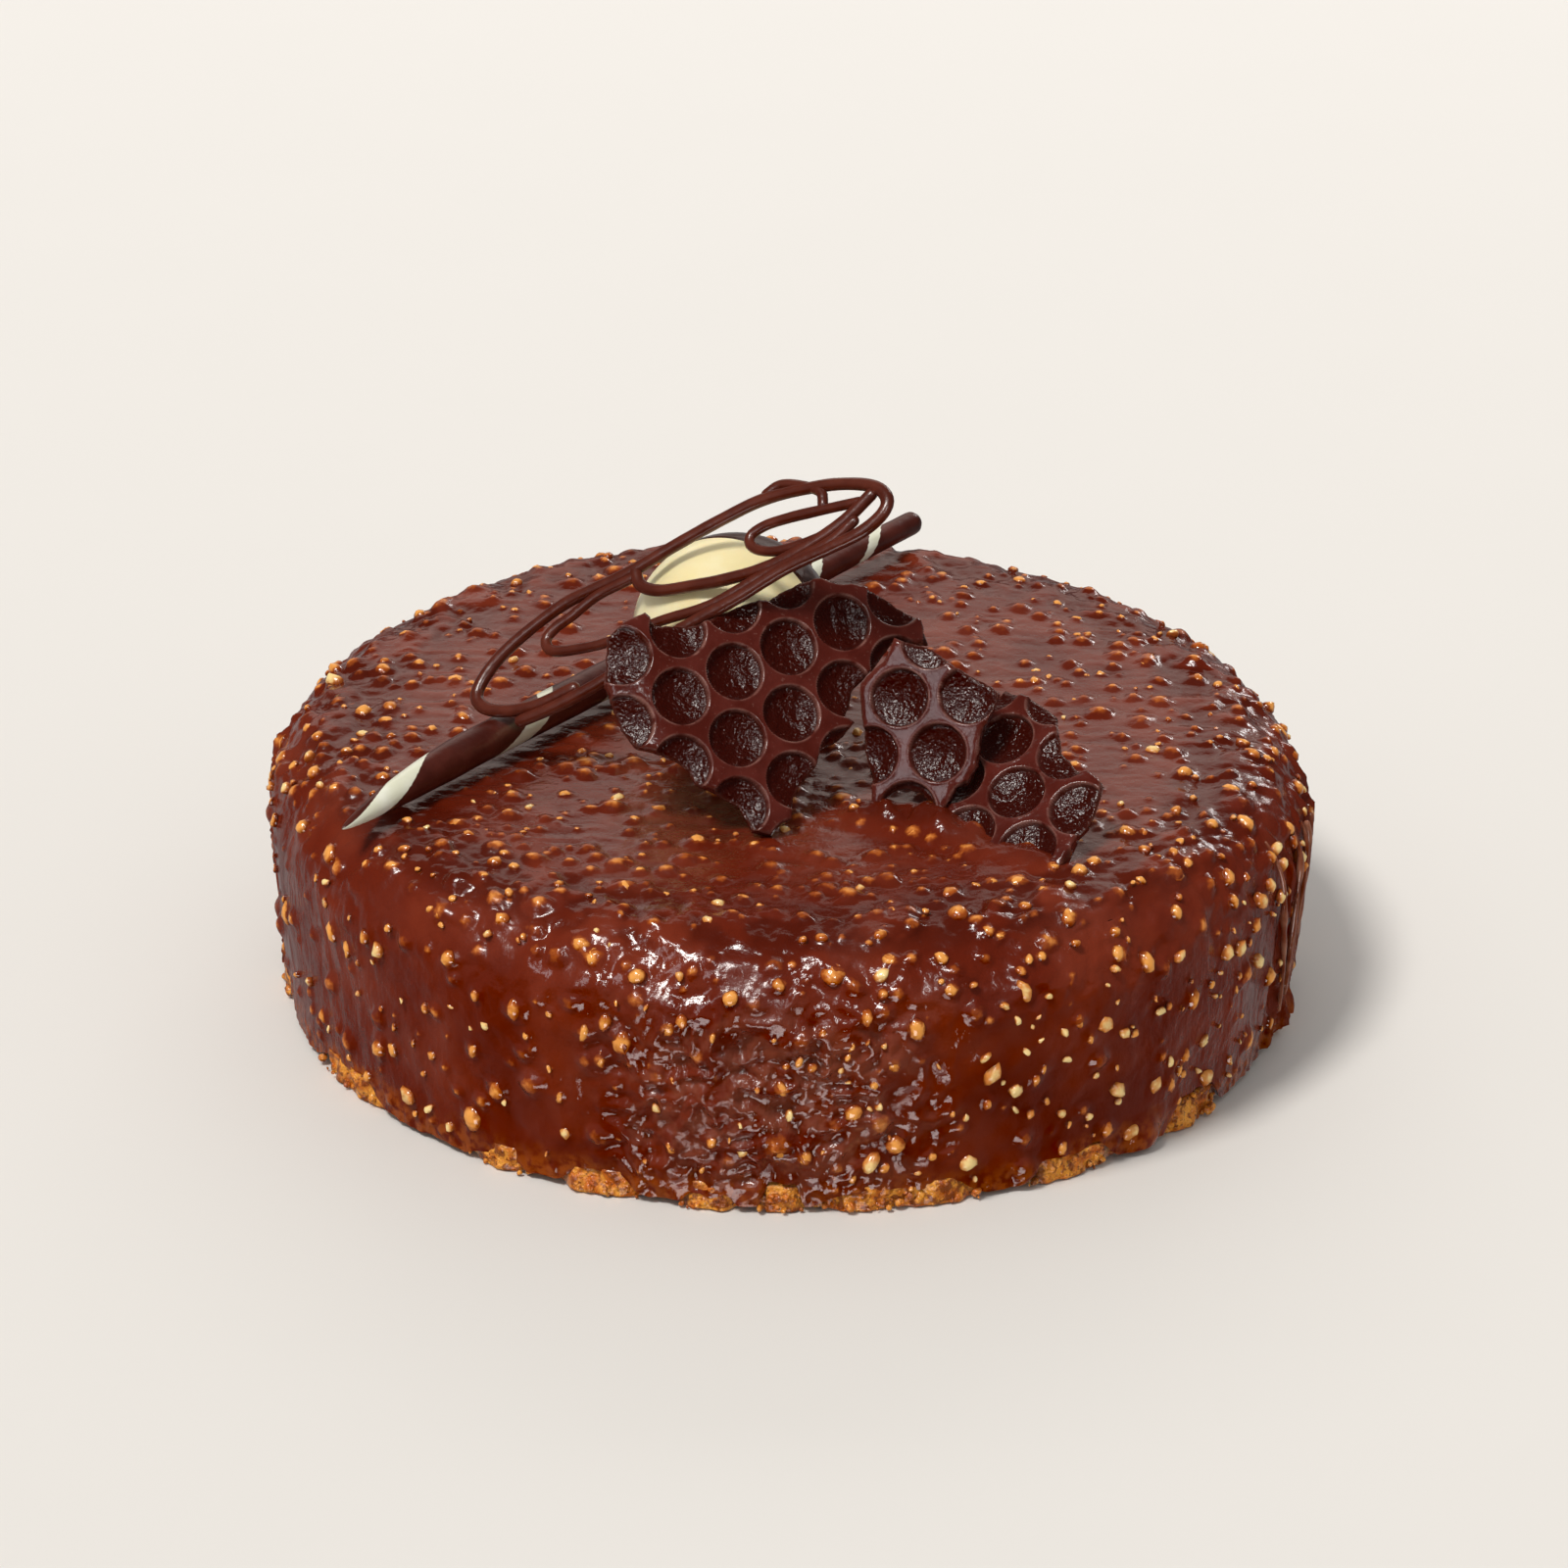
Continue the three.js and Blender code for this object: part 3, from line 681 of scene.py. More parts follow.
# How far the glaze stands out from the plain skin, and where its finish changes.
def glazeRelief(plain, walk, turn):
    lift, show = swell(plain)
    height = plain[:, 2]
    degrees = wrapped(np.degrees(turn))
    edgeEnd = flatRadius + edgeWalk
    onTop = smooth(flatRadius + 0.75 * edgeWalk, flatRadius + 0.1 * edgeWalk, walk)
    onWall = 1 - onTop
    onEdge = smooth(flatRadius - 14, flatRadius, walk) * smooth(edgeEnd + 6, edgeEnd - 8, walk)
    fromFront = smooth(*glaze["front"], np.abs(degrees))
    lowWall = smooth(wallTop + 14, wallTop - 2, height)
    first, deep, fading, last = glaze["hollowTurns"]
    rightWall = smooth(first, deep, degrees) * smooth(last, fading, degrees)
    bend = layeredNoise(plain, 11, 2, 19)[:, None] * np.array([5.0, 0, 5.0])
    push = lift - glaze["inset"]
    # slow waves, uneven lumps and small dents of the wall
    wave = (np.sin(5 * turn + height / 9) + np.sin(11 * turn - height / 6 + 1.7)
            + np.sin(17 * turn + height / 5 + 4.1)) / 3
    dents = layeredNoise(plain + 0.4 * bend, 4.2, 2, 63)
    push += glaze["wave"] * (wave - 1) * onWall
    push += glaze["slack"] * (layeredNoise(plain, 15, 3, 31) - 0.4) * onWall
    push += glaze["dent"] * dents * onWall * (1 - 0.6 * fromFront)
    # upright grooves, and hollows between the strings on the right
    alongWall = np.stack([turn * cake["radius"] + 0.15 * height, 0 * turn, height * 0.26], 1)
    grooves = layeredNoise(alongWall, 3.4, 2, 23)
    hollows = layeredNoise(plain * np.array([1, 1, 0.5]), 6.5, 2, 57)
    push += glaze["groove"] * (grooves - 0.5) * onWall * lowWall * (0.25 + 0.75 * fromFront)
    push -= glaze["hollow"] * np.clip(hollows - 0.05, 0, 1) * rightWall * lowWall
    # streaks of the top, lumps on its rounded edge and banks along the toppings
    streaks = layeredNoise(plain * np.array([0.5, 1.3, 1]), 7.5, 4, 3)
    ripple = np.clip(1 - np.abs(streaks) * 2.6, -0.9, 1) * onTop
    edgeLumps = layeredNoise(plain + 0.5 * bend, 7, 3, 91)
    bank, bankShade = bankAt(plain[:, :2])
    push += glaze["ripple"] * (ripple - 1) * onTop * (1 - 0.5 * np.clip(lift, 0, 1))
    push += glaze["lumps"] * (1.6 * edgeLumps - 0.4) * onEdge
    push += bank * (1 + 0.5 * edgeLumps + 0.5 * layeredNoise(plain, 4.2, 3, 47)) * onTop
    # folds of the rough patch in front
    patchMiddle, patchHeight, halfWide, halfHigh = glaze["patch"]
    rough = np.exp(-((plain[:, 0] - patchMiddle) / halfWide) ** 4
                   - ((height - patchHeight) / halfHigh) ** 4) * (plain[:, 1] < 0)
    folds = 1 - 2.4 * np.abs(layeredNoise((plain + bend) * np.array([1, 1, 1.25]), 10.5, 2, 11))
    folds += 0.5 * (1 - 2.6 * np.abs(layeredNoise(plain + 0.5 * bend, 4.2, 2, 13)))
    push += glaze["wrinkle"] * (np.clip(folds, -0.8, 1.5) - 0.9) * rough
    # strings, which sway a little on their way down
    drawn = np.zeros(len(turn))
    share = np.clip(1 - height / glaze["stringTop"], 0, 1)
    for edgeTurn, footTurn in strings:
        at = edgeTurn + (footTurn - edgeTurn) * share + 1.1 * np.sin(height / 7 + edgeTurn)
        away = np.radians(wrapped(degrees - at)) * cake["radius"]
        drawn = np.maximum(drawn, np.exp(-(away / glaze["stringWidth"]) ** 2) * smooth(60, 50, height))
    push += glaze["string"] * drawn
    # painted shade: darker in the hollows of the top and on the banks along the toppings; thin and
    # crumbling at the foot
    hollow = np.clip(0.5 - (push + glaze["inset"] - lift) * 0.9, 0, 1)
    thin = smooth(11, 3, height + 5 * layeredNoise(plain, 6, 3, 37))
    push += glaze["crumble"] * np.abs(layeredNoise(plain, 2.6, 2, 39)) * smooth(9, 3, height)
    finish = {"nutShow": show, "hollow": np.maximum(hollow, bankShade) * onTop, "rough": rough,
              "thin": thin, "streak": onWall * lowWall * fromFront}
    return push, finish


# The finished skin, which ends at its plain height and stays inside the reach.
def glazePoints(walk, turn):
    plain, normal = skinPoint(walk, turn)
    push, finish = glazeRelief(plain, walk, turn)
    points = plain + normal * push[:, None]
    points[:, 2] = np.where(walk > wholeWalk * 0.999, plain[:, 2], points[:, 2])
    far = np.maximum(np.hypot(points[:, 0], points[:, 1]) / glaze["reach"], 1)
    points[:, :2] /= far[:, None]
    return points, finish


# Normals of the whole skin, which both of its pieces use.
def meshNormals(points, quads):
    across = points[quads[:, 2]] - points[quads[:, 0]]
    other = points[quads[:, 3]] - points[quads[:, 1]]
    normals = np.zeros(points.shape)
    for corner in range(4):
        np.add.at(normals, quads[:, corner], np.cross(across, other))
    return normals / np.maximum(np.linalg.norm(normals, axis=1), 1e-9)[:, None]


# Squares between loops of points that lie one below another.
def bandFaces(loops):
    return np.vstack([np.stack([np.roll(upper, -1), upper, lower, np.roll(lower, -1)], 1)
                      for upper, lower in zip(loops, loops[1:])])


# Triangles from a loop to a point above or below it.
def fanFaces(loop, centre, up):
    following = np.roll(loop, -1)
    centres = np.full(len(loop), centre)
    return np.stack([loop, following, centres] if up else [following, loop, centres], 1)


# The glaze is two closed pieces, one over the top and one round the wall, which meet on
# the rounded edge and share their normals there. The top is a round sheet of squares, so
# that they stay even, and the wall goes on from its rim.
def glazePieces(material):
    count, rows = glaze["cells"], glaze["rows"]
    seamWalk = flatRadius + glaze["seam"] * edgeWalk
    side = np.linspace(-1, 1, count + 1)
    u, v = np.meshgrid(side, side, indexing="ij")
    x = (u * np.sqrt(1 - v * v / 2)).ravel()
    y = (v * np.sqrt(1 - u * u / 2)).ravel()
    index = np.arange((count + 1) ** 2).reshape(count + 1, count + 1)
    squares = np.stack([index[:-1, :-1], index[1:, :-1], index[1:, 1:], index[:-1, 1:]], 2).reshape(-1, 4)
    rim = np.concatenate([index[:-1, 0], index[-1, :-1], index[:0:-1, -1], index[0, :0:-1]])
    around = len(rim)
    walk = np.minimum(np.hypot(x, y), 1) * seamWalk
    walk[rim] = seamWalk
    turn = np.arctan2(x, -y)
    rimTurn = turn[rim]
    down = np.linspace(seamWalk, wholeWalk, rows + 1)[1:]
    points, finish = glazePoints(np.append(walk, np.repeat(down, around)),
                                 np.append(turn, np.tile(rimTurn, rows)))
    start = len(walk)
    loops = [rim] + [start + row * around + np.arange(around) for row in range(rows + 2)]
    band = bandFaces(loops[:-2])
    normals = meshNormals(points, np.vstack([squares, band]))
    # two more loops turn the foot inwards and up to the hollow over the biscuit
    foot = points[loops[-3]][:, 2]
    inner = cake["recess"] - 4.3 * smooth(5, 8, foot)
    under = bandFaces(loops[-3:])
    centres = loops[-1][-1] + 1 + np.arange(3)
    onAxis = [[0, 0, height] for height in (cake["ceiling"], glaze["underTop"], glaze["insideWall"])]
    points = np.vstack([points, roundPoints(inner, rimTurn, foot + 0.2),
                        roundPoints(inner, rimTurn, cake["ceiling"]), onAxis])
    downward = np.tile([0.0, 0.0, -1.0], (len(points) - len(normals), 1))
    normals = np.vstack([normals, downward])
    pieces = []
    for name, quads, fans in (
            ("glazeTop", squares, fanFaces(rim, centres[1], False)),
            ("glazeWall", np.vstack([band, under]),
             np.vstack([fanFaces(loops[-1], centres[0], False), fanFaces(rim, centres[2], True)]))):
        used, renamed = np.unique(np.append(quads.ravel(), fans.ravel()), return_inverse=True)
        faces = (renamed[:quads.size].reshape(-1, 4).tolist()
                 + renamed[quads.size:].reshape(-1, 3).tolist())
        values = {key: np.append(value, np.zeros(len(points) - len(value)))[used]
                  for key, value in finish.items()}
        piece = meshPiece(name, points[used], faces, material, values)
        piece.data.normals_split_custom_set_from_vertices(normals[used].tolist())
        print(name, len(quads) * 2 + len(fans), "triangles")
        pieces.append(piece)
    return pieces


def glazeMaterial():
    material, tree = newMaterial("glaze")
    rough = tree.attribute("rough")
    cloud = tree.patches(22, 3, 0.35, 0.7)
    colour = tree.mix(cloud, rgb(0.130, 0.0130, 0.0036), rgb(0.188, 0.0270, 0.0105))
    # painted shade: the hollow share darkens the top in its hollows and on the banks along the toppings
    hollow = tree.between(tree.attribute("hollow"), 0.35, 0.95)
    colour = tree.mix(hollow * 0.75, colour, rgb(0.070, 0.0060, 0.0014))
    through = tree.attribute("nutShow") + (tree.noise(1.5, 2) - 0.5)
    colour = tree.mix(tree.between(through, 0.20, 0.80) * 0.9, colour, rgb(0.40, 0.085, 0.012))
    colour = tree.mix(tree.between(through, 0.60, 1.1) * 0.9, colour, rgb(0.82, 0.31, 0.066))
    thinner = tree.attribute("thin") * tree.patches(2.2, 3, 0.35, 0.6)
    colour = tree.mix(thinner * 0.75, colour, rgb(0.34, 0.075, 0.011))
    # painted sheen: lighter, greyer patches over the rough patch in front
    patchSheen = rough * tree.patches(6, 3, 0.42, 0.62)
    colour = tree.mix(patchSheen * 0.55, colour, rgb(0.26, 0.075, 0.042))
    normal = tree.bump(tree.noise(1.5, 2), 0.6, 0.3)
    streaks = tree.noise(1.6, 2, (1, 1, 0.3)) * tree.attribute("streak")
    normal = tree.bump(streaks, 0.8, 0.6, normal)
    normal = tree.bump(tree.noise(3.6, 1) * rough, 1.5, 1.0, normal)
    finishMaterial(tree, {
        "Base Color": colour,
        "Roughness": tree.patches(14, 2, 0.4, 0.65) * 0.12 + 0.15,
        "Specular IOR Level": 0.45,
        "Coat Weight": 0.15,
        "Coat Roughness": 0.06,
        "Normal": normal,
    })
    return material


for glazePart in glazePieces(glazeMaterial()):
    keep(glazePart, "glaze", "glazed_cake")
print("glaze is made")


# Chopped nuts.

# A tree that sets one lump on each point, turned and sized by the point's own values.
def lumpTree():
    nodeTree = bpy.data.node_groups.new("lumps", "GeometryNodeTree")
    for name, kind in (("Geometry", "Geometry"), ("Subdivisions", "Int"), ("Unevenness", "Float"),
                       ("Unevenness Size", "Float"), ("Material", "Material")):
        nodeTree.interface.new_socket(name, in_out="INPUT", socket_type="NodeSocket" + kind)
    nodeTree.interface.new_socket("Geometry", in_out="OUTPUT", socket_type="NodeSocketGeometry")
    tree = Tree(nodeTree)
    given = nodeTree.nodes.new("NodeGroupInput")
    inputs = {socket.name: Field(tree, socket) for socket in given.outputs if socket.name}
    lump = tree.add("GeometryNodeMeshIcoSphere", None,
                    {"Radius": 1.0, "Subdivisions": inputs["Subdivisions"]})
    position = tree.add("GeometryNodeInputPosition")
    lump = tree.add("GeometryNodeStoreNamedAttribute", {"data_type": "FLOAT", "domain": "POINT"},
                    {"Geometry": lump, "Name": "crown", "Value": tree.part(position, 2)})
    angles, sizes = (tree.add("GeometryNodeInputNamedAttribute", {"data_type": "FLOAT_VECTOR"},
                              {"Name": key}) for key in ("angles", "sizes"))
    spots = tree.add("GeometryNodeInstanceOnPoints", None,
                     {"Points": inputs["Geometry"], "Instance": lump, "Rotation": angles,
                      "Scale": sizes})
    whole = tree.add("GeometryNodeRealizeInstances", None, {"Geometry": spots})
    rough = tree.add("ShaderNodeTexNoise", None,
                     {"Vector": position, "Scale": inputs["Unevenness Size"], "Detail": 1.0},
                     output="Color")
    centred = tree.add("ShaderNodeVectorMath", {"operation": "SUBTRACT"},
                       {0: rough, 1: (0.5, 0.5, 0.5)})
    offset = tree.add("ShaderNodeVectorMath", {"operation": "SCALE"},
                      {0: centred, "Scale": inputs["Unevenness"]})
    whole = tree.add("GeometryNodeSetPosition", None, {"Geometry": whole, "Offset": offset})
    whole = tree.add("GeometryNodeSetShadeSmooth", None, {"Geometry": whole})
    whole = tree.add("GeometryNodeSetMaterial", None,
                     {"Geometry": whole, "Material": inputs["Material"]})
    tree.add("NodeGroupOutput", None, {"Geometry": whole})
    return nodeTree


lumpGroup = lumpTree()
lumpSubdivisions = 2    # 80 faces each


# Runs the lump tree on points and leaves a plain mesh. Each lump has a place, angles, sizes
# and a tone.
def lumpPiece(name, lumps, material, uneven, unevenSize):
    places, angles, sizes, tones = zip(*lumps)
    mesh = bpy.data.meshes.new(name)
    mesh.from_pydata(((np.array(places) + middle) * mm).tolist(), [], [])
    storeValues(mesh, "angles", angles)
    storeValues(mesh, "sizes", np.array(sizes) * mm)
    storeValues(mesh, "tone", tones)
    source = placeObject(name + "Source", mesh)
    modifier = source.modifiers.new("lumps", "NODES")
    modifier.node_group = lumpGroup
    wanted = {"Subdivisions": lumpSubdivisions, "Unevenness": uneven * mm,
              "Unevenness Size": 1 / (unevenSize * mm), "Material": material}
    for item in lumpGroup.interface.items_tree:
        if item.name in wanted and item.in_out == "INPUT":
            modifier[item.identifier] = wanted[item.name]
    graph = bpy.context.evaluated_depsgraph_get()
    made = bpy.data.meshes.new_from_object(source.evaluated_get(graph))
    bpy.data.objects.remove(source)
    for key in ("angles", "sizes"):
        if key in made.attributes:
            made.attributes.remove(made.attributes[key])
    made.name = name
    return placeObject(name, made)


# Angles that stand a lump on the skin, spun by a share of a turn.
def alongNormal(normal, spin):
    turned = Vector(normal).to_track_quat("Z", "Y").to_matrix()
    return (turned @ Matrix.Rotation(spin * 2 * math.pi, 3, "Z")).to_euler()


nutLooks = [
    {
        "name": "coveredNuts", "material": "coveredNut", "bare": False,
        "sink": 0.42,             # how deep its middle lies, in its own height
        "uneven": 1.4,
        "crown": rgb(0.44, 0.090, 0.011), "pale": rgb(0.93, 0.40, 0.092), "foot": rgb(0.17, 0.024, 0.005),
        "crownFrom": 0.1, "crownTo": 0.75, "roughness": 0.12, "coat": 0.6,
    },
    {
        "name": "bareNuts", "material": "bareNut", "bare": True,
        "sink": 0.38,
        "uneven": 2.0,
        "crown": rgb(0.74, 0.27, 0.055), "pale": rgb(1.0, 0.74, 0.32), "foot": rgb(0.36, 0.080, 0.012),
        "crownFrom": 0.0, "crownTo": 0.6, "roughness": 0.2, "coat": 0.4,
    },
]

nutShapes = {
    # width, length and height in the nut's own size
    "wall": (0.88, 1.22, 0.75),
    "top": (1, 1, 0.85),
    "scale": 0.92,
    "unevenSize": 2.0,
}


# Glaze round the foot of a nut, and a crown that goes from golden to pale.
def nutMaterial(look):
    material, tree = newMaterial(look["material"])
    crown = tree.attribute("crown")
    mottle = tree.noise(1.1, 2) - 0.5
    pale = tree.between(crown + tree.attribute("tone") * 0.5 + mottle * 0.8, 0.6, 1.25)
    kernel = tree.mix(pale, look["crown"], look["pale"])
    share = tree.between(crown + mottle * 0.5, look["crownFrom"], look["crownTo"])
    finishMaterial(tree, {
        "Base Color": tree.mix(share, look["foot"], kernel),
        "Roughness": look["roughness"],
        "Specular IOR Level": 0.5,
        "Coat Weight": look["coat"],
        "Coat Roughness": 0.08,
        "Normal": tree.bump(tree.noise(0.8, 2), 0.3, 0.3),
    })
    return material


# One lump for each nut that stands out of the glaze. Those of the top rise with the banks.
def nutPiece(look):
    lumps = []
    for nut in thrown:
        if nut["bare"] != look["bare"] or nut["film"]:
            continue
        shape = nutShapes["wall" if nut["wall"] else "top"]
        spin = nut["spin"]
        if nut["wall"] and not look["bare"]:
            spin = 0.12 * (spin - 0.5)    # the glaze ran down, so these stand upright
        depth = glaze["inset"] + look["sink"] * nut["size"] * shape[2]
        if not nut["wall"]:
            depth -= bankAt(nut["place"][None, :2])[0][0]
        lumps.append((nut["place"] - nut["normal"] * depth, alongNormal(nut["normal"], spin),
                      nut["size"] * nut["stretch"] * np.array(shape) * nutShapes["scale"], nut["tone"]))
    piece = lumpPiece(look["name"], lumps, nutMaterial(look), look["uneven"], nutShapes["unevenSize"])
    print(look["name"], len(lumps), "lumps,", len(piece.data.polygons), "faces")
    return piece


for look in nutLooks:
    keep(nutPiece(look), "glaze")


# Biscuit base.

biscuit = {
    "radius": 112.1,
    "footTuck": 0.8,          # how far the lowest ring is drawn in
    "stickOut": 2.6,          # how far it comes out in the openings, and how unevenly
    "crag": 2.2,
    "cragRadius": 115,        # where the unevenness is read
    "thickness": 6.5,
    "around": 900,            # squares round it
    "layers": 14,             # rows of squares up its side
    "crumbs": 900,
    "crumbRadius": 112.0,     # distance of the innermost crumbs from the middle
    "crumbSize": (0.35, 1.3),
    "crumbUneven": 0.9,
    "crumbUnevenSize": 1.6,
    "seed": 5,
}


def biscuitMaterial():
    material, tree = newMaterial("biscuit")
    colour = tree.mix(tree.patches(3.2, 3, 0.35, 0.68), rgb(0.66, 0.150, 0.009), rgb(1.0, 0.42, 0.050))
    colour = tree.mix(tree.patches(2.4, 2, 0.5, 0.62) * 0.85, colour, rgb(0.27, 0.050, 0.007))
    colour = tree.mix(tree.patches(1.1, 2, 0.56, 0.66) * 0.8, colour, rgb(0.26, 0.050, 0.006))
    finishMaterial(tree, {"Base Color": colour, "Roughness": 0.3, "Coat Weight": 0.5,
                          "Coat Roughness": 0.15, "Normal": tree.bump(tree.noise(1.2, 4), 1.3, 1.0)})
    return material


def biscuitPiece(material):
    around, layers = biscuit["around"], biscuit["layers"]
    turn = np.linspace(0, 2 * math.pi, around, endpoint=False)
    share, _ = openingAt(turn)
    points = []
    for i in range(layers + 1):
        height = biscuit["thickness"] * i / layers
        crag = layeredNoise(roundPoints(biscuit["cragRadius"], turn, height), 4.2, 3, 71)
        radius = biscuit["radius"] - biscuit["footTuck"] * (i == 0)
        points.append(roundPoints(radius + share * (biscuit["stickOut"] + biscuit["crag"] * crag),
                                  turn, height))
    points = np.vstack(points + [[[0, 0, 0], [0, 0, biscuit["thickness"]]]])
    faces = tubeFaces(layers + 1, around)
    low, top = len(points) - 2, len(points) - 1
    for j in range(around):
        k = (j + 1) % around
        faces.append((k, j, low))
        faces.append((layers * around + j, layers * around + k, top))
    return meshPiece("biscuit", points, faces, material)


# Loose baked crumbs in the openings, more where one is wide and high.
def crumbPiece(material):
    random = np.random.RandomState(biscuit["seed"])
    weights = np.array([wide * top for _, wide, top in openings], float)
    smallest, largest = biscuit["crumbSize"]
    lumps = []
    for _ in range(biscuit["crumbs"]):
        middleTurn, wide, top = openings[random.choice(len(openings), p=weights / weights.sum())]
        offset = np.clip(random.normal(0, 0.45), -1, 1)
        turn = math.radians(middleTurn) + offset * wide / 2 / cake["footRadius"]
        size = smallest + (largest - smallest) * random.uniform(0, 1) ** 2.4
        height = size * 0.7 + (top * (1 - 0.5 * offset ** 2) - size) * random.uniform(0, 1) * 0.9
        radius = biscuit["crumbRadius"] + random.uniform(0, 2.6) + 0.8 * (height < 1.5)
        angles = random.uniform(0, 6.28, 3)
        sizes = size * random.uniform(0.7, 1.3, 3)
        height = max(height, sizes.max() * 1.25 + 0.1)    # none goes through the floor
        lumps.append(((radius * math.sin(turn), -radius * math.cos(turn), height), angles, sizes,
                      random.uniform(0, 1)))
    return lumpPiece("biscuitCrumbs", lumps, material, biscuit["crumbUneven"], biscuit["crumbUnevenSize"])


baked = biscuitMaterial()
keep(biscuitPiece(baked), "biscuit", "biscuit_base")
keep(crumbPiece(baked), "biscuit")
print("biscuit is made")


# Ball.

ballPlace = np.array([*ball["place"], ball["rest"] + ball["radius"]])
ballLook = {
    "around": 96,
    "rings": 40,
    "inset": 0.1,             # how far the plain surface lies inside the ball's radius
    "seam": 0.17,             # from the seam's middle to the flat face of a half
    "rimRound": 1.0,
    "uneven": 0.12,
}


# Half a ball that faces along its own +Z, with a softly rounded rim at the seam.
def halfBall(name, side, material):
    around, rings, seam = ballLook["around"], ballLook["rings"], ballLook["seam"]
    radius = ball["radius"] - ballLook["inset"]
    flat = radius - ballLook["rimRound"]
    flatRings, roundRings = 9, 5
    profile = [(flat * i / flatRings, seam) for i in range(1, flatRings + 1)]
    for i in range(1, roundRings + 1):
        angle = math.pi / 2 * i / roundRings
        profile.append((flat + ballLook["rimRound"] * math.sin(angle),
                        seam + 0.5 * ballLook["rimRound"] * (1 - math.cos(angle))))
    for i in range(1, rings):
        angle = math.pi / 2 * i / rings
        profile.append((radius * math.cos(angle), max(radius * math.sin(angle), 0.7)))
    turn = np.linspace(0, 2 * math.pi, around, endpoint=False)
    points = [[[0, 0, seam]]]
    for distance, height in profile:
        points.append(np.stack([distance * np.cos(turn), distance * np.sin(turn), height + 0 * turn], 1))
    points = np.vstack(points + [[[0, 0, radius]]])
    last = 1 + (len(profile) - 1) * around
    faces = [(0, 1 + (j + 1) % around, 1 + j) for j in range(around)]
    faces += tubeFaces(len(profile), around, 1)
    faces += [(last + j, last + (j + 1) % around, len(points) - 1) for j in range(around)]
    facing = direction(ball["turn"], ball["rise"]) * side
    points = points @ np.array(facing.to_track_quat("Z", "Y").to_matrix()).T
    outward = points / np.maximum(np.linalg.norm(points, axis=1), 1)[:, None]
    points = points - outward * (ballLook["uneven"] * (1 + layeredNoise(points, 13, 2, 5)))[:, None]
    return meshPiece(name, points + ballPlace, faces, material)


def ivoryMaterial():
    material, tree = newMaterial("ivoryChocolate")
    colour = tree.mix(tree.patches(9, 3, 0.35, 0.7), rgb(0.95, 0.81, 0.44), rgb(0.98, 0.88, 0.56))
    finishMaterial(tree, {"Base Color": colour, "Roughness": 0.33, "Coat Weight": 0.2,
                          "Coat Roughness": 0.2, "Subsurface Weight": 0.15,
                          "Subsurface Radius": (0.004, 0.003, 0.0015),
                          "Normal": tree.bump(tree.noise(2.2, 3), 0.35, 0.25)})
    return material


def darkMaterial(name, deep, light, roughness=0.28):
    material, tree = newMaterial(name)
    finishMaterial(tree, {"Base Color": tree.mix(tree.patches(6, 3, 0.35, 0.7), deep, light),
                          "Roughness": roughness, "Specular IOR Level": 0.5, "Coat Weight": 0.15,
                          "Coat Roughness": 0.1, "Normal": tree.bump(tree.noise(1.5, 3), 0.35, 0.35)})
    return material


ballDark = darkMaterial("darkBall", rgb(0.035, 0.0075, 0.004), rgb(0.06, 0.013, 0.007))
keep(halfBall("ivoryBallHalf", 1, ivoryMaterial()), "ivory_chocolate", "ball_ivory")
keep(halfBall("darkBallHalf", -1, ballDark), "dark_chocolate", "ball_dark")
print("ball is made")


# Chocolate pencil.

pencilLook = {
    "rings": 260,
    "sides": 40,
    "endRound": 2.4,          # length over which the far end is rounded
    "stripeHalf": 0.092,      # half the stripe's width, as a share of a turn
    "tipStripeHalf": 0.19,    # the same at the tip
    "tipStripe": 50.0,        # length over which it narrows
    "pastStripes": 25.0,      # length of a turn after the last of those below
    # distance along the roll at which the stripe faces the front, turn by turn
    "stripeAt": [13, 66, 96, 122, 146, 168, 190.5],
    "frontAngle": 0.644,      # where the side that faces the front is, in turns from straight down
}


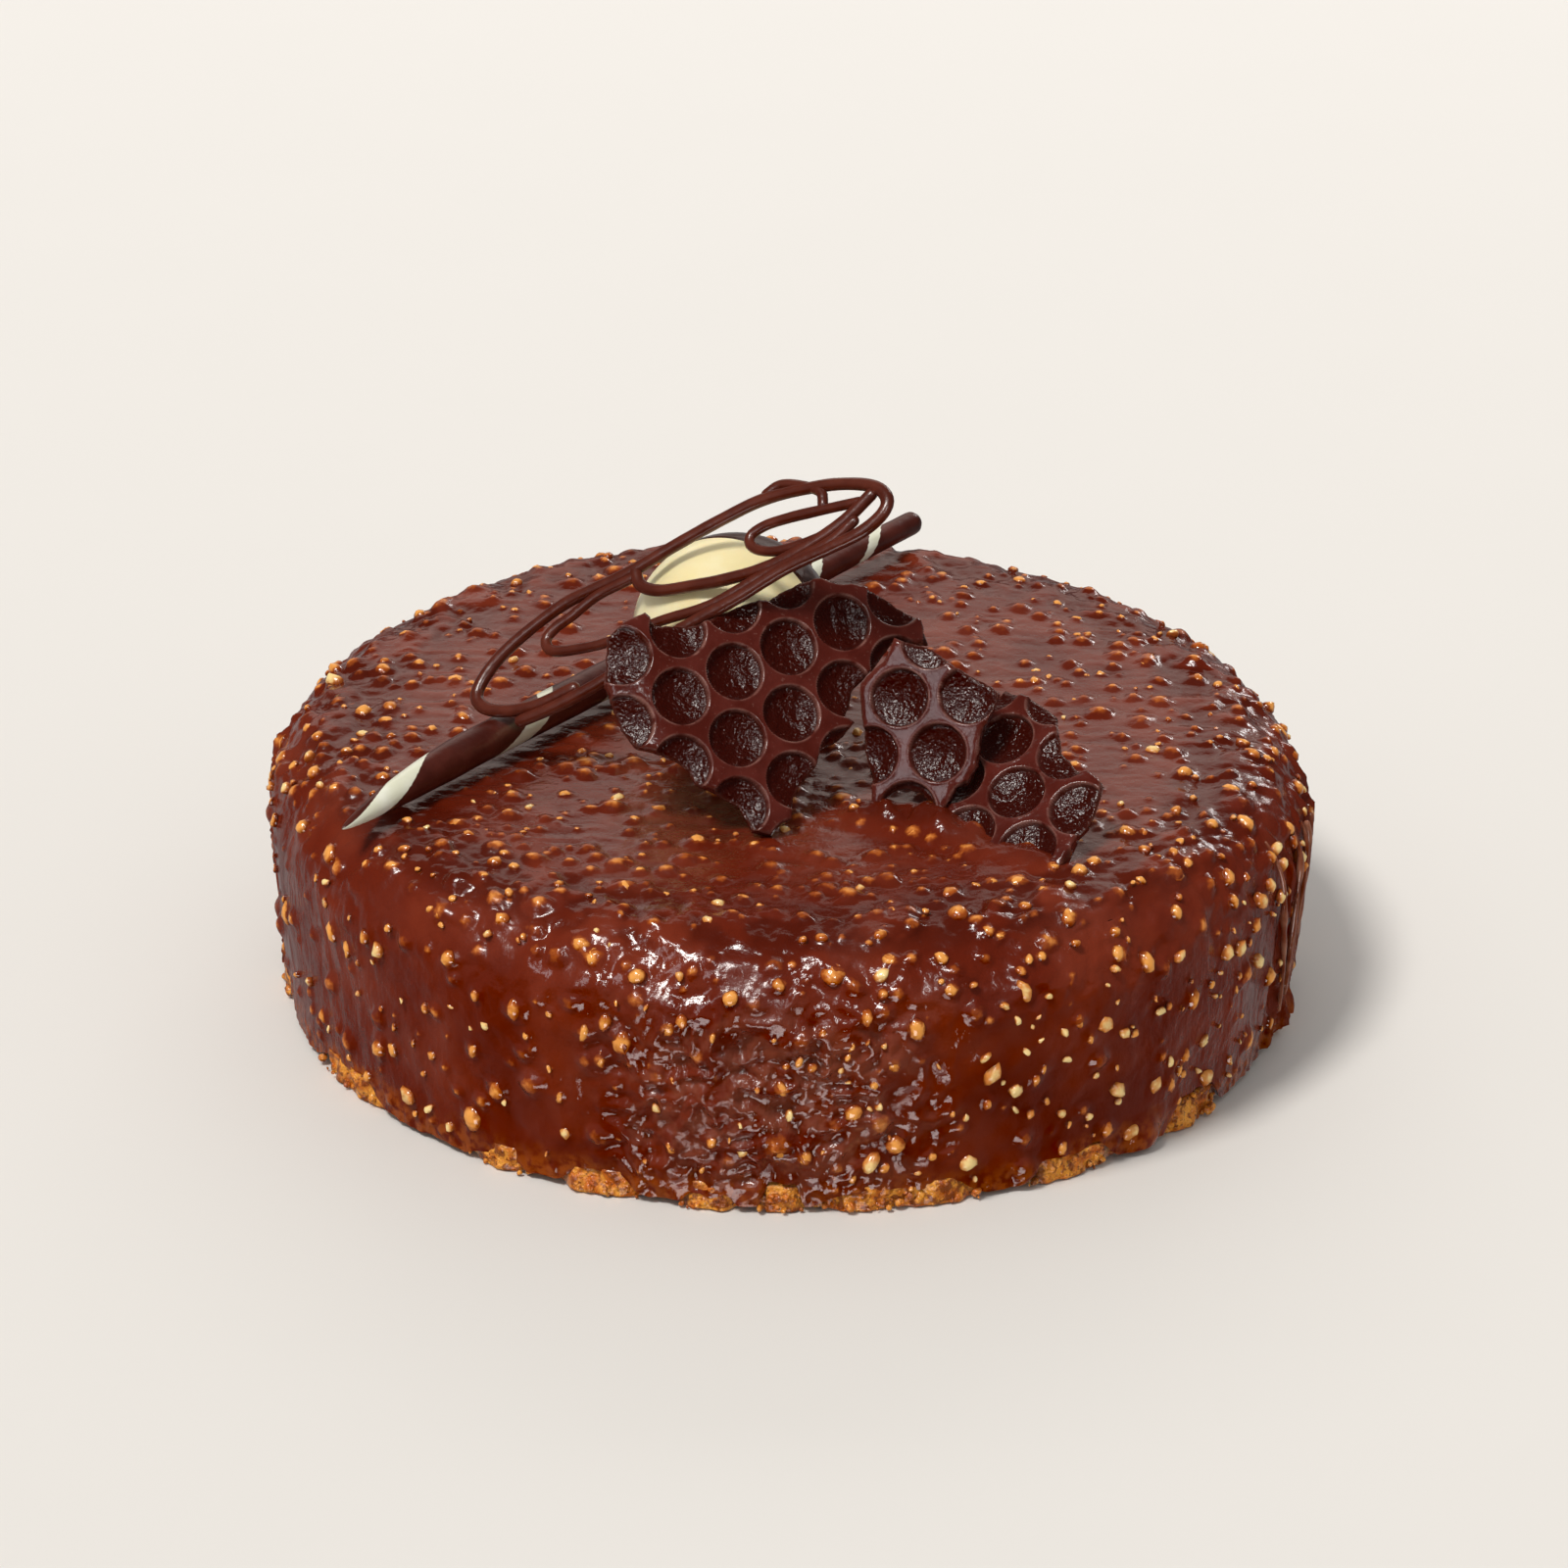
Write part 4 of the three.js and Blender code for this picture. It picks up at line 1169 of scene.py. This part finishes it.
def pencilPiece(material):
    tip, end = np.array(pencil["tip"]), np.array(pencil["end"])
    length = np.linalg.norm(end - tip)
    heading = np.append((end - tip) / length, 0)
    down = np.array([0, 0, -1.0])
    side = np.cross(heading, down)
    rings, sides = pencilLook["rings"], pencilLook["sides"]
    along = length * np.linspace(0, 1, rings) ** 1.1
    point = np.minimum(along / pencil["tipLength"], 1)
    thin = smooth(0.45 * length, length, along)
    body = pencil["radius"] + (pencil["endRadius"] - pencil["radius"]) * thin
    radius = body * np.maximum(np.sin(point * math.pi / 2), 0) ** 0.6
    toEnd = np.clip((length - along) / pencilLook["endRound"], 0, 1)
    radius *= np.sqrt(np.clip(1 - (1 - toEnd) ** 2, 0, 1))
    radius = np.maximum(radius, 0.02) * 0.985
    drop = pencil["tipDrop"] * np.maximum(0, 1 - along / pencil["tipLength"]) ** 1.6
    angle = np.linspace(0, 2 * math.pi, sides, endpoint=False)
    stripes = pencilLook["stripeAt"]
    before, after = along - stripes[0], along - stripes[-1]
    turnsAt = np.interp(along, stripes, np.arange(len(stripes)))
    turnsAt = np.where(before < 0, before / (stripes[1] - stripes[0]), turnsAt)
    turnsAt = np.where(after > 0, len(stripes) - 1 + after / pencilLook["pastStripes"], turnsAt)
    points, white = [], []
    for i in range(rings):
        centre = np.append(tip, pencil["height"]) + heading * along[i] + down * drop[i]
        spots = centre + radius[i] * (np.cos(angle)[:, None] * down + np.sin(angle)[:, None] * side)
        bumps = 0.12 * layeredNoise(spots, 8, 2, 15)
        points.append(spots - (spots - centre) * (0.02 + bumps[:, None] * 0.25))
        # how far round the roll each point lies from the middle of the stripe
        away = angle / (2 * math.pi) - pencilLook["frontAngle"] + turnsAt[i]
        away = (away + 0.5) % 1 - 0.5
        half = pencilLook["stripeHalf"]
        half += (pencilLook["tipStripeHalf"] - half) * max(0, 1 - along[i] / pencilLook["tipStripe"])
        white.append(smooth(half + 0.012, half - 0.012, np.abs(away)))
    points = np.vstack(points)
    faces = tubeFaces(rings, sides, flipped=True)
    faces.append(tuple(range(sides)))
    faces.append(tuple(reversed(range(len(points) - sides, len(points)))))
    return meshPiece("chocolatePencil", points, faces, material, {"white": np.concatenate(white)})


def pencilMaterial():
    material, tree = newMaterial("rolledChocolate")
    cloud = tree.patches(7, 3, 0.35, 0.7)
    dark = tree.mix(cloud, rgb(0.060, 0.0085, 0.0045), rgb(0.095, 0.0165, 0.0095))
    pale = tree.mix(cloud, rgb(0.72, 0.72, 0.56), rgb(0.82, 0.82, 0.70))
    ragged = (tree.noise(0.9, 2) - 0.5) * 0.35
    share = tree.between(tree.attribute("white") + ragged, 0.35, 0.65)
    finishMaterial(tree, {"Base Color": tree.mix(share, dark, pale), "Roughness": 0.30,
                          "Specular IOR Level": 0.45, "Coat Weight": 0.1,
                          "Coat Roughness": 0.15, "Normal": tree.bump(tree.noise(1.4, 3), 0.3, 0.3)})
    return material


keep(pencilPiece(pencilMaterial()), "roll_chocolate", "chocolate_pencil")
print("pencil is made")


# Piped swirl.

swirl = {
    "turn": -43, "rise": 44,  # the way its flat side faces
    "radius": 1.5,
    "fine": 1.25,             # radius of the finer strands
    "flatten": 0.9,
    "overBall": 0.3,          # room between it and the ball
    "sides": 16,
    "step": 0.9,
}

# Each strand: its radius and its points across and up the flat side.
swirlStrands = [
    (swirl["radius"],
     [(-20.5, -42), (-13.5, -35.5), (-5, -25.5), (1, -16), (7.5, -7.5), (16, 2.5), (23.5, 12.5),
      (31.5, 20.5), (37.5, 27), (40, 32.5), (39, 36), (34.5, 37.5), (27.5, 36), (19.5, 32.5),
      (9, 26), (1.5, 18.5), (-7, 8.5), (-14.5, -1), (-21.5, -8), (-27, -14), (-33, -24.5),
      (-36, -33), (-36, -40), (-32.5, -42.5), (-26.5, -41.5), (-19, -37.5), (-12, -30.5)]),
    (swirl["fine"], [(8.5, 27), (10.5, 30), (15, 31.5), (21.5, 32), (24, 29.5)]),
    (swirl["fine"],
     [(-13, -2), (-19.5, -9), (-23, -15.5), (-25.5, -19.5), (-26, -23), (-22.5, -24.5), (-15, -21),
      (-9, -17), (0, -9), (10.5, -1), (20, 10.5), (30.5, 21.5), (34, 28.5)]),
    (swirl["radius"],
     [(-13.5, -0.5), (-10, -3), (-4.5, -2.5), (2.5, 1), (10.5, 5.5), (19.5, 12), (27, 20.5),
      (31.5, 27.5), (34.5, 35.5)]),
    (swirl["fine"],
     [(32.5, 33), (22.5, 27), (17, 23.5), (12.5, 20), (10.5, 16.5), (13, 14.5), (18.5, 15.5),
      (24, 19), (27.5, 22)]),
]


def swirlPiece(material):
    facing = np.array(direction(swirl["turn"], swirl["rise"]))
    origin = ballPlace + facing * (ball["radius"] + swirl["overBall"] + swirl["radius"])
    parts = []
    for i, (radius, spots) in enumerate(swirlStrands):
        line = smoothLine([(across, up, 0) for across, up in spots], swirl["step"])
        radii = radius * (1 + 0.10 * layeredNoise(line + 40 * i, 9, 2, 9 + i))
        parts.append(strandMesh(line, radii, swirl["sides"], np.array([0, 0, 1.0]), swirl["flatten"]))
    points, faces = joined(parts)
    points = standAt(points, facingMatrix(swirl["turn"], swirl["rise"], origin))
    return meshPiece("pipedSwirl", points, faces, material)


pipedChocolate = darkMaterial("pipedChocolate", rgb(0.080, 0.0125, 0.0055), rgb(0.118, 0.022, 0.0105))
keep(swirlPiece(pipedChocolate), "roll_chocolate", "piped_swirl")
print("swirl is made")


# Thin threads of glaze that hang clear of the wall on the right.

threads = {
    "radius": 0.8,
    "clear": 0.5,             # how far from the wall they hang
    "from": 57, "to": 7,      # heights
    "step": 2.0,
    "sides": 8,
    # turn at the upper and at the lower end
    "lines": [(68.0, 74.0), (74.5, 77.5), (79.0, 76.5), (82.5, 80.5), (88.0, 83.0)],
}


def threadPiece(material):
    parts = []
    for i, (top, bottom) in enumerate(threads["lines"]):
        height = np.arange(threads["from"] - 2.5 * i, threads["to"] + 3 * (i % 3), -threads["step"])
        share = (threads["from"] - height) / (threads["from"] - threads["to"])
        turn = np.radians(top + (bottom - top) * share + 0.9 * np.sin(height / (9 + i) + 2 * i))
        ring = ringAt(height) + threads["clear"] * np.sin(share * math.pi) - glaze["inset"]
        line = roundPoints(np.minimum(ring, glaze["reach"] - threads["radius"]), turn, height)
        radii = threads["radius"] * (0.35 + 0.65 * np.sin(share * math.pi))
        radii *= 1 + 0.6 * lumpNoise(line, 5, 12 + i)
        fine = smoothLine(line, 1.0)
        radii = np.interp(np.linspace(0, 1, len(fine)), np.linspace(0, 1, len(line)), radii)
        parts.append(strandMesh(fine, radii, threads["sides"], np.array(direction((top + bottom) / 2))))
    points, faces = joined(parts)
    return meshPiece("glazeThreads", points, faces, material)


threadGlaze = darkMaterial("threadGlaze", rgb(0.19, 0.045, 0.022), rgb(0.34, 0.14, 0.085), 0.12)
keep(threadPiece(threadGlaze), "glaze")
print("threads are made")


# Dimpled sheets.

sheet = {
    "thickness": 3.2,
    "dimpleRadius": 6.6,
    "dimpleDepth": 1.35,      # of the steep side
    "bowlDepth": 1.25,        # of the round floor below it
    "grid": 0.62,             # distance between points of a face
    # rings of points at each dimple's rim, as distances from it, and the belt they fill
    "rings": (-1.3, -0.75, -0.42, -0.22, -0.05, 0.08, 0.25, 0.5),
    "belt": (-1.8, 0.8),
    "sideRows": 3,            # of squares down the broken side
    "edgeStep": 0.45,
    "edgeRoom": 0.22,         # no point of the grid lies closer to the edge
    "ragged": 0.45,           # of the broken edge
    "ground": 63.4,           # the feet sink this deep
}

# Each piece: where it stands, the way it faces, its curl, its outline from the foot, and its
# dimples: the first one's middle and the two steps from one to the next.
sheets = [
    {
        "node": "sheet_left", "seed": 100, "name": "sheetLeft", "foot": (-3.3, -62.2, 66.5),
        "turn": 24.2, "rise": 40, "curlFrom": -17, "curlRate": 0.022,
        "outline": [(-25, 50.5), (-21, 53), (-16.5, 54), (-14, 51), (-4.5, 49.5), (7.5, 52.5),
                    (13.5, 52.5), (22, 55.5), (28.5, 55), (36.5, 51.5), (42, 47.5), (47.5, 42),
                    (48, 36.5), (39.5, 38), (33.5, 33), (28, 29.5), (24, 23), (25.5, 21.5),
                    (21.5, 18.5), (16, 17), (14, 13), (7.5, 7.5), (5, 2.5), (0, 0), (-3.5, 1.5),
                    (-5.5, 8), (-14, 14), (-14.5, 17.5), (-17.5, 20.5), (-25, 24.5),
                    (-27, 29.5), (-28, 40)],
        "from": (0.8, 37.4), "across": (13.9, 3.5), "down": (-3.3, -15),
    },
    {
        "node": "sheet_middle", "seed": 117, "name": "sheetMiddle", "foot": (33, -52.3, 66.2),
        "turn": -17.8, "rise": 30.5, "curlFrom": 0, "curlRate": 0,
        "outline": [(-17, 38), (-18.5, 32.5), (-22, 28.5), (-23, 26.5), (-21, 19), (-19.5, 12),
                    (-16.5, 5), (-15.5, 0.5), (-13.5, 0), (-13.5, 2.5), (-11, 4.5), (-8.5, 5.5),
                    (-5.5, 5), (-2.5, 3), (0, 0), (1.5, 3), (2.5, 7), (5, 8.5), (6.5, 13),
                    (6, 19.5), (8.5, 29.5), (-2.5, 33.5), (-8.5, 36.5)],
        "from": (-2.7, 14.2), "across": (15.3, 2.9), "down": (-4.5, -13.7),
    },
    {
        "node": "sheet_right", "seed": 134, "name": "sheetRight", "foot": (54.9, -68.5, 65.3),
        "turn": -32.1, "rise": 53.9, "curlFrom": -12, "curlRate": 0.004,
        "outline": [(-29, 38), (-18.5, 36.5), (-13.5, 34.5), (-8.5, 26.5), (-2, 23), (0, 23.5),
                    (5, 21.5), (5.5, 19), (6.5, 10.5), (5.5, 7.5), (6, 2), (4, -5),
                    (-13.5, -6.5), (-24, -3), (-30, 4), (-32.5, 17), (-33, 28)],
        "from": (-12.5, 13.2), "across": (15.5, 0.3), "down": (-6.5, -12.3),
    },
]


def insideOutline(points, outline):
    crossed = np.zeros(len(points), bool)
    x, y = points[:, 0], points[:, 1]
    for (x0, y0), (x1, y1) in zip(outline, np.roll(outline, -1, axis=0)):
        between = (y0 > y) != (y1 > y)
        slope = (x1 - x0) / (y1 - y0) if y1 != y0 else 0
        crossed ^= between & (x < x0 + slope * (y - y0))
    return crossed


def distanceToOutline(points, outline):
    return np.min([distanceToLine(points, start, end)
                   for start, end in zip(outline, np.roll(outline, -1, axis=0))], axis=0)


def dimpleCentres(piece, outline):
    first, across, down = (np.array(piece[key]) for key in ("from", "across", "down"))
    reach = sheet["dimpleRadius"] + 0.6
    spots = np.array([first + i * across + j * down for i in range(-5, 6) for j in range(-5, 6)])
    return spots[insideOutline(spots, outline) | (distanceToOutline(spots, outline) < reach)]


# The broken edge: the outline's corners, with smaller breaks between them.
def brokenOutline(piece):
    corners = np.array(piece["outline"], float)
    spots = []
    for start, end in zip(corners, np.roll(corners, -1, axis=0)):
        count = max(1, int(np.linalg.norm(end - start) / sheet["edgeStep"]))
        t = np.linspace(0, 1, count, endpoint=False)[:, None]
        spots.append(start + (end - start) * t)
    spots = np.vstack(spots)
    flat = np.column_stack([spots, np.zeros(len(spots))])
    shake = np.stack([layeredNoise(flat, 3.4, 3, piece["seed"] + more) for more in (0, 9)], 1)
    return spots + shake * sheet["ragged"]


# Points and triangles of a flat face: an even grid, with rings of points at each dimple's rim.
def sheetFace(edge, centres):
    low, high = edge.min(0), edge.max(0)
    step, radius = sheet["grid"], sheet["dimpleRadius"]
    xs = np.arange(low[0], high[0], step)
    ys = np.arange(low[1], high[1], step * 0.87)
    grid = np.array([(x + (row % 2) * step / 2, y) for row, y in enumerate(ys) for x in xs])
    rings = []
    for centre in centres:
        for offset in sheet["rings"]:
            ring = radius + offset
            count = int(2 * math.pi * ring / step)
            angle = 2 * math.pi * (np.arange(count) + 0.5 * (len(rings) % 2)) / count
            rings.append(centre + ring * np.stack([np.cos(angle), np.sin(angle)], 1))
        away = np.linalg.norm(grid - centre, axis=1) - radius
        grid = grid[(away < sheet["belt"][0]) | (away > sheet["belt"][1])]
    inner = np.vstack([grid] + rings)
    inner = inner[insideOutline(inner, edge)]
    inner = inner[distanceToOutline(inner, edge) > sheet["edgeRoom"]]
    spots = [Vector(spot) for spot in np.vstack([edge, inner])]
    cut = delaunay_2d_cdt(spots, [], [list(range(len(edge)))], 1, 1e-5)
    return np.array([tuple(spot) for spot in cut[0]]), np.array(cut[2])


# The broken side between the two faces, along the edges that one triangle alone has.
def brokenSide(triangles, frontPoints, backPoints, seed):
    edges = dict.fromkeys(pair for a, b, c in triangles for pair in ((a, b), (b, c), (c, a)))
    rim = [(start, end) for start, end in edges if (end, start) not in edges]
    rows, count = sheet["sideRows"], len(frontPoints)
    columns, points, faces = {}, [], []
    for start, _ in rim:
        columns[start] = [start]
        for row in range(1, rows):
            columns[start].append(2 * count + len(points))
            spot = frontPoints[start] * (1 - row / rows) + backPoints[start] * row / rows
            shake = lumpNoise(np.array([spot, spot + 50]), 1.1, seed)
            points.append(spot + np.array([shake[0], shake[1], 0]) * 0.28)
        columns[start].append(start + count)
    for start, end in rim:
        near, far = columns[start], columns[end]
        for row in range(rows):
            faces.append((far[row], near[row], near[row + 1], far[row + 1]))
    return points, faces


def sheetPiece(piece, material):
    edge = brokenOutline(piece)
    centres = dimpleCentres(piece, edge)
    flat, triangles = sheetFace(edge, centres)
    count, radius, seed = len(flat), sheet["dimpleRadius"], piece["seed"]
    pad = np.column_stack([flat, np.zeros(count)])
    spans = np.linalg.norm(flat[:, None] - centres[None], axis=2)
    away, nearest = spans.min(1), spans.argmin(1)[:, None]
    fromEdge = np.minimum(distanceToOutline(flat, edge), 2)
    # a steep wall, a round floor with puckers and fold lines, and a raised rim
    wall = smooth(radius + 0.02, radius - 0.42, away)
    bowl = np.clip(1 - (away / (radius - 0.4)) ** 2, 0, 1)
    inPit = smooth(radius - 0.35, radius - 0.9, away)
    puckers = layeredNoise(pad + nearest * 7.3, 3.2, 3, seed + 20)
    foldLines = np.abs(layeredNoise(pad * np.array([1, 0.45, 1]) + nearest * 3.1, 3.6, 2, seed + 33))
    front = -sheet["dimpleDepth"] * wall - sheet["bowlDepth"] * bowl
    front += inPit * (0.24 * puckers + 2.4 * np.clip(0.14 - foldLines, 0, 1))
    front += 0.09 * np.exp(-((away - radius - 0.16) / 0.16) ** 2)
    front += 0.10 * layeredNoise(pad, 6, 3, seed + 2) * (1 - inPit)
    # both faces draw in along the broken edge
    back = 0.12 * layeredNoise(pad, 9, 2, seed + 4) - sheet["thickness"]
    worn = 1 - smooth(0, 0.8, fromEdge)
    back += 0.3 * worn
    front = np.maximum(front - 0.35 * worn, back + 0.35)
    curl = -piece["curlRate"] * np.maximum(0, piece["curlFrom"] - flat[:, 0]) ** 2
    frontPoints = np.column_stack([flat, front + curl])
    backPoints = np.column_stack([flat, back + curl])
    faces = [tuple(face) for face in triangles] + [tuple(face[::-1] + count) for face in triangles]
    sidePoints, sideFaces = brokenSide(triangles, frontPoints, backPoints, seed + 60)
    points = np.vstack([frontPoints, backPoints, sidePoints])
    rimLine = np.exp(-((away - radius - 0.02) / 0.2) ** 2) * (0.5 + 0.5 * lumpNoise(pad, 4, seed + 8))
    # pit and wall carry painted shade for the floors and steep sides of the dimples; rim and edge mark
    # paler lines
    looks = {"rim": np.clip(rimLine, 0, 1), "pit": inPit, "wall": wall * (1 - inPit),
             "edge": 0.7 * (1 - smooth(0.0, 0.5, fromEdge))}
    rest = np.zeros(len(points) - count)
    attributes = {key: np.append(values, rest) for key, values in looks.items()}
    points = standAt(points, facingMatrix(piece["turn"], piece["rise"], piece["foot"]))
    points[:, 2] = np.maximum(points[:, 2], sheet["ground"])
    return meshPiece(piece["name"], points, faces + sideFaces, material, attributes)


def sheetMaterial():
    material, tree = newMaterial("dimpledChocolate")
    pit = tree.attribute("pit")
    cloud = tree.patches(8, 3, 0.35, 0.7)
    colour = tree.mix(cloud, rgb(0.074, 0.0090, 0.0050), rgb(0.105, 0.0170, 0.0115))
    # painted shade: darker on the floors and on the steep sides of the dimples
    colour = tree.mix(pit * 0.95, colour, rgb(0.034, 0.0026, 0.0009))
    colour = tree.mix(tree.attribute("wall") * 0.8, colour, rgb(0.016, 0.0022, 0.0012))
    lines = tree.attribute("rim") * tree.patches(2.5, 2, 0.3, 0.6)
    colour = tree.mix(lines * 0.8, colour, rgb(0.42, 0.22, 0.18))
    colour = tree.mix(tree.attribute("edge") * 0.4, colour, rgb(0.16, 0.055, 0.038))
    colour = tree.mix(tree.patches(0.8, 2, 0.64, 0.72) * 0.3, colour, rgb(0.22, 0.10, 0.08))
    normal = tree.bump(tree.noise(1.6, 3), 0.5, 0.3)
    normal = tree.bump(tree.noise(0.8, 1) * pit, 0.35, 0.8, normal)
    finishMaterial(tree, {"Base Color": colour, "Roughness": tree.noise(3, 2) * 0.16 + 0.10,
                          "Specular IOR Level": 0.28, "Coat Weight": (1 - pit) * 0.3,
                          "Coat Roughness": 0.08, "Normal": normal})
    return material


sheetChocolate = sheetMaterial()
for piece in sheets:
    made = keep(sheetPiece(piece, sheetChocolate), "dark_chocolate", piece["node"])
    print(piece["name"], len(made.data.polygons), "faces")
